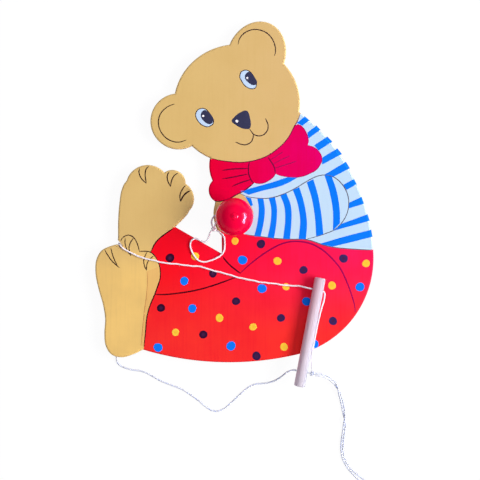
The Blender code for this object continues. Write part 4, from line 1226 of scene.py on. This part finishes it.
bend = np.linspace(0, math.pi / 2, 6)
bent = np.column_stack([HANDLE_RADIUS - BEND_INSIDE + BEND_RADIUS * np.sin(bend),
                        TOP_HOLE - BEND_RADIUS * (1 - np.cos(bend)), 0 * bend])
lowered = ON_BOARD - HANDLE_MIDDLE[2]
beside = np.column_stack([HANDLE_RADIUS + CORD_RADIUS + RUN_OFF,
                          TOP_HOLE - RUN_SHARES * (TOP_HOLE - LOW_HOLE), RUN_SUNK * lowered])
run = np.vstack([
    [(-HANDLE_RADIUS, TOP_HOLE, 0), (0, TOP_HOLE, 0)], bent, beside,
    [(KNOT_OUT - 0.6 * MM, KNOT_TOP + 2 * CORD_RADIUS, 0.08 * lowered), (KNOT_OUT, KNOT_TOP, 0)],
])
handle_knot = wrapped_knot("knot_at_handle", from_handle([(KNOT_OUT, LOW_HOLE, 0)])[0],
                           from_handle([(1, 0, 0)])[0] - HANDLE_MIDDLE, SHADED_COTTON)
through = np.linspace(-HANDLE_RADIUS, KNOT_OUT - KNOT_LENGTH / 2 - SEAT_GAP, 28)
straight = from_handle(np.column_stack([through, 0 * through + LOW_HOLE, 0 * through]))
low_pass = twisted("cord_in_lower_hole", straight, yarn=SHADED_COTTON)
handle_run = lay("cord_beside_handle", route(from_handle(run)))
fasten("handle", (handle_run, "cord_handle_run"), (low_pass, "cord_low_pass"), (handle_knot, "handle_knot"))


# The cord from the handle round the foot
# From the upper hole it lies over the trousers to the notch between the feet, goes through the
# slot there, down a groove behind the lower foot and back over the table to the lower hole.
SLOT_END = np.array([-102.6, -27.2]) * MM
SLOT_WAY = circle(math.radians(131.3))
SWAY = 0.16 * MM
SWAY_FADE = 12 * MM
LONG_WAVE = 23 * MM
SHORT_WAVE = 10.3 * MM


def swayed(path):
    """A path that strays to either side in plan by two sine waves, which fade out at its ends."""
    along = RING_STEP * np.arange(len(path))
    fade = np.clip(np.minimum(along, along[-1] - along) / SWAY_FADE, 0, 1) ** 2
    angle = 2 * math.pi * along
    return aside(path, SWAY * fade * (np.sin(angle / LONG_WAVE) + 0.7 * np.sin(angle / SHORT_WAVE + 1)))


def into_handle(y):
    """The last straight stretch of a cord that goes into a cross hole from the left."""
    mouth = -HANDLE_RADIUS - SEAT_GAP
    return from_handle([(mouth - 3 * CORD_RADIUS, y, 0), (mouth, y, 0)])


FRONT_ROUTE = [
    (-99.5, -29.5), (-95, -32), (-88, -35), (-81.5, -37.5), (-72.5, -39.5), (-63, -41.5), (-49.5, -43),
    (-40.5, -44), (-31.5, -45), (-20.5, -48), (-11.5, -50.5), (-2.5, -53), (7, -55.5), (16, -57.5),
    (25, -59), (32.5, -60), (41.5, -61.2), (50.5, -62),
]
front = swayed(route(
    (*(SLOT_END - SEAT_GAP * SLOT_WAY), ON_BOARD),
    with_heights(FRONT_ROUTE, ON_BOARD),
    with_heights([(59.5, -62.8), (64.5, -63.7)], [ON_BOARD + 1.3 * MM, HANDLE_MIDDLE[2] - 0.8 * MM]),
    into_handle(TOP_HOLE),
))
stretch(lay("cord_over_front", front), "cord_front")

GROOVE_ROUTE = [(-100.5, -29.6), (-98.2, -33.4), (-97.4, -40), (-98.2, -52), (-100.6, -68), (-103.4, -86),
                (-106, -104), (-107.7, -118), (-108.2, -128)]
half_turn = np.linspace(0, math.pi, 9)
slot_radius = (ON_BOARD - IN_GROOVE) / 2
round_board = raised(SLOT_END + slot_radius * np.sin(half_turn)[:, None] * SLOT_WAY,
                     (ON_BOARD + IN_GROOVE) / 2 + slot_radius * np.cos(half_turn))
behind = route(round_board, with_heights(GROOVE_ROUTE, IN_GROOVE))
cord_behind = lay("cord_behind_the_foot", behind, over=(-SLOT_WAY[1], SLOT_WAY[0], 0.3))
fasten("bear", (cord_behind, "cord_behind_foot"))

GROUND_ROUTE = [
    (-107.4, -133), (-104.6, -135.8), (-100.3, -137.9), (-94.2, -139.6), (-86.7, -140.6), (-81.1, -142.4),
    (-74.6, -145.9), (-67.5, -149.9), (-58.5, -153.5), (-48.4, -157.5), (-40.3, -162.5), (-32.8, -168.1),
    (-26.2, -173.6), (-20.7, -176.9), (-15.1, -177.5), (-9.1, -175.1), (-2.6, -169.6), (7, -160.5),
    (13.6, -155.2), (20.1, -152.7),
]
RISING_ROUTE = [(28.2, -152), (36, -149.6), (42.6, -145.2), (48, -140.4)]
RISES = np.array([0.4, 2.8, 7.2, 11.8]) * MM
ground = route(
    (-108.2 * MM, -128 * MM - SEAT_GAP, IN_GROOVE),
    with_heights(GROUND_ROUTE, ON_FLOOR),
    with_heights(RISING_ROUTE, ON_FLOOR + RISES),
    into_handle(LOW_HOLE),
)
stretch(lay("cord_on_the_table", ground, yarn=SHADED_COTTON), "cord_ground")


# The free ends of the cord
# Past the knot both ends fall to the table side by side, cross twice and run out of the picture.
# The short one ends in a knot there. The long one is wound into a small flat coil and tied once.
COIL_TURNS = 3
COIL_INNER = 9.6 * MM
COIL_PITCH = 2.6 * MM
COIL_END = 19 * MM
PER_TURN = 36
TIE_THICKNESS = 0.9 * MM
TIE_WIDTH = 3.0 * MM
TIE_TURN = 0.25
TIE_COLUMNS = 16
CORNER_PARTS = 8
COIL_LOW = 0.5 * SEAT_GAP + TIE_THICKNESS + SEAT_GAP + CORD_RADIUS
COIL_WAY = np.array([*circle(math.radians(-65.2)), 0])
COIL_START = np.array([121.5 * MM, -252 * MM, COIL_LOW])
KNOT_ON_FLOOR = KNOT_RADIUS + 0.5 * SEAT_GAP
PAIR_APART = 1.9 * MM
CROSSINGS = np.array([31, 59]) * MM
CROSSING_LENGTH = 19 * MM
PARTING = 28 * MM
SHORT_END_OFFSET = 4.4 * MM
SHORT_BY = 4.5 * MM
FALLING_ROUTE = [(79, -143.2), (83.5, -145), (87.5, -147.5), (91.2, -151), (94.2, -155.8), (96.5, -162)]
FALLS = np.array([1.1, 3.8, 7.2, 10.2, 12.0, 12.9]) * MM
TAIL_ROUTE = [
    (98.7, -169.8), (100.2, -177.7), (101, -185.2), (100.7, -193.3), (99.2, -203.3), (98.7, -212.9),
    (100.2, -221), (104, -228.5), (109.3, -234.9), (114.8, -241.1),
]


def eased(t):
    """A smooth step from 0 to 1."""
    t = np.clip(t, 0, 1)
    return t**2 * (3 - 2 * t)


def paired(path, side_of, end_offset):
    """One of two cords that lie side by side along a path, on its left for +1 and its right for -1.

    At each crossing the pair makes half a turn about the path, as a smooth step, and the path is
    lifted so that the lower cord stays down. Near its end the cord moves to its own end offset.
    """
    along = RING_STEP * np.arange(len(path))
    turn = math.pi * np.sum(eased((along[:, None] - CROSSINGS) / CROSSING_LENGTH + 0.5), axis=1)
    part = eased((along - along[-1]) / PARTING + 1)
    reach = PAIR_APART / 2
    out = (1 - part) * side_of * reach * np.cos(turn) + part * end_offset
    lift = reach * (np.abs(np.sin(turn)) + side_of * np.sin(turn))
    return aside(path, out) + np.outer(lift, UP)


past_knot = KNOT_OUT + KNOT_LENGTH / 2 + SEAT_GAP
tail = route(
    from_handle([(past_knot, LOW_HOLE, 0), (past_knot + 1.5 * MM, LOW_HOLE, 0)]),
    with_heights(FALLING_ROUTE, HANDLE_MIDDLE[2] - FALLS),
    with_heights(TAIL_ROUTE, ON_FLOOR),
    with_heights([(118.5, -245.5)], 0.4 * ON_FLOOR + 0.6 * COIL_LOW),
    COIL_START - SEAT_GAP * COIL_WAY,
)
long_end = paired(tail, -1, 0)
short_end = paired(tail, 1, SHORT_END_OFFSET)[:-round(SHORT_BY / RING_STEP)]
short_knot_at = short_end[-1] + (KNOT_LENGTH / 2 + SEAT_GAP) * COIL_WAY
short_knot_at[2] = KNOT_ON_FLOOR
short_knot = wrapped_knot("knot_of_short_end", short_knot_at, COIL_WAY, SHADED_COTTON)
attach(short_knot, "bear")
cord_tail = lay("cord_free_end", long_end, yarn=SHADED_COTTON)
cord_short = lay("cord_short_end", short_end, yarn=SHADED_COTTON)
stretch(cord_tail, "cord_tail")
stretch(cord_short, "cord_tail")


def coil_point(turned):
    """Points of the coil: in on the lower layer, up half-way, and out on the upper one."""
    inwards = np.array([COIL_WAY[1], -COIL_WAY[0]])
    entry = COIL_START + 2 * CORD_RADIUS * COIL_WAY
    centre = entry[:2] + (COIL_INNER + COIL_PITCH * COIL_TURNS / 2) * inwards
    from_middle = turned - COIL_TURNS / 2
    radius = COIL_INNER + COIL_PITCH * np.abs(from_middle)
    a = math.atan2(-inwards[1], -inwards[0]) - 2 * math.pi * turned
    plan = centre + radius[:, None] * circle(a)
    return raised(plan, COIL_LOW + COIL_PITCH * eased(2 * from_middle + 0.5))


def tie_band():
    """The tie: a rounded bar carried round a rounded rectangle about the bundle of turns."""
    here, ahead = coil_point(np.array([TIE_TURN, TIE_TURN + 0.01]))
    strands = coil_point(TIE_TURN + np.arange(COIL_TURNS))
    way = unit((ahead - here)[:2])
    out = np.array([-way[1], way[0]])
    across = (strands - here)[:, :2] @ out
    height = strands[:, 2]
    corners = np.array([(across.max(), height.max()), (across.min(), height.max()),
                        (across.min(), height.min()), (across.max(), height.min())])
    a = (np.arange(4)[:, None] + np.linspace(0, 1, CORNER_PARTS)[None]) * math.pi / 2
    normal = circle(a).reshape(-1, 2)
    core = np.repeat(corners, CORNER_PARTS, axis=0)
    s = np.linspace(0, -2 * math.pi, TIE_COLUMNS, endpoint=False)
    thick, wide = (np.sign(wave) * np.abs(wave) ** 0.5 for wave in (np.cos(s), np.sin(s)))
    bulge = CORD_RADIUS + SEAT_GAP + TIE_THICKNESS / 2 * (1 + thick)
    ring = core[:, None] + bulge[:, None] * normal[:, None]
    plan = here[:2] + ring[:, :, :1] * out + TIE_WIDTH / 2 * wide[:, None] * way
    faces = grid_faces(len(core), len(s), True, True).tolist()
    made = new_piece("coil_tie_band", raised(plan, ring[:, :, 1]), faces, SHADED_COTTON)
    unroll(made, len(s), measured(np.vstack([ring[:, 0], ring[:1, 0]])))
    return made


loops = coil_point(np.linspace(0, COIL_TURNS, COIL_TURNS * PER_TURN + 1))
share = np.linspace(0, 1, 7)[1:]
fall = (loops[-1, 2] - KNOT_ON_FLOOR) * np.clip(1.5 * share - 0.3, 0, 1) ** 1.5
laid_end = loops[-1] + COIL_END * share[:, None] * COIL_WAY - np.outer(fall, UP)
coil = route(COIL_START, loops, laid_end)
end_knot = wrapped_knot("knot_at_the_end", coil[-1] + (KNOT_LENGTH / 2 + SEAT_GAP) * COIL_WAY, COIL_WAY,
                        SHADED_COTTON)
tie = tie_band()
cord_coil = lay("cord_coiled_end", coil, yarn=SHADED_COTTON)
fasten("bear", (cord_coil, "cord_coil"), (end_knot, "end_knot"), (tie, "coil_tie"))


# The small loop
# A short length of the same cord, knotted into a loop and hung over the ball's pin. It lies over
# the raised leg and across the gap beside it.
LOOP_KNOT = (-19.0 * MM, -10.5 * MM, BOARD_FRONT + SEAT_GAP + KNOT_RADIUS)
KNOT_WAY = (0.3, 1.0, 0.0)
LOOP_THERE = [(-20.9, -4.4), (-19.6, -0.3), (-15, 2.9), (-8, 4.2)]
LOOP_BACK = [(-8, -3.7), (-12.7, -3.1)]
LOOP_TO_KNOT = [(-15.2, -3.7), (-17, -5.5), (-17.8, -8)]
LOOP_ROUTE = [
    (-11, -15.6), (-9.4, -18.8), (-8.9, -24.5), (-9.5, -30), (-12, -34.2), (-17, -37.4), (-22.5, -39.6),
    (-28, -40.6), (-32.8, -39.2), (-36.4, -35.4), (-39, -30.5), (-40.2, -26), (-39.6, -22.2), (-37, -19.8),
    (-33.6, -19.7), (-30.9, -21.3), (-28.6, -22.3), (-26.2, -22), (-24.4, -20.4), (-23.5, -18),
]
ROUND_PIN = 4.41 * circle(np.linspace(math.pi / 2, -math.pi / 2, 7))
upper_loop = route(
    with_heights([(-20.3, -7.9)], ON_BOARD + 0.9 * MM),
    with_heights(np.vstack([LOOP_THERE, ROUND_PIN, LOOP_BACK]), ON_BOARD),
    with_heights(LOOP_TO_KNOT, ON_BOARD + np.array([0.1, 0.4, 0.9]) * MM),
)
lower_loop = route(
    with_heights([(-16.5, -11.8), (-13.7, -13.4)], ON_BOARD + np.array([1.0, 0.5]) * MM),
    with_heights(LOOP_ROUTE, ON_BOARD),
    with_heights([(-22.6, -15.2), (-21.2, -12.3)], ON_BOARD + np.array([0.3, 1.0]) * MM),
)
loop_knot = wrapped_knot("knot_of_loop", LOOP_KNOT, KNOT_WAY)
loop_upper = lay("loop_over_pin", upper_loop)
loop_lower = lay("loop_hanging_cord", lower_loop)
fasten("bear", (loop_upper, "loop_round_pin"), (loop_lower, "loop_hanging"), (loop_knot, "loop_knot"))
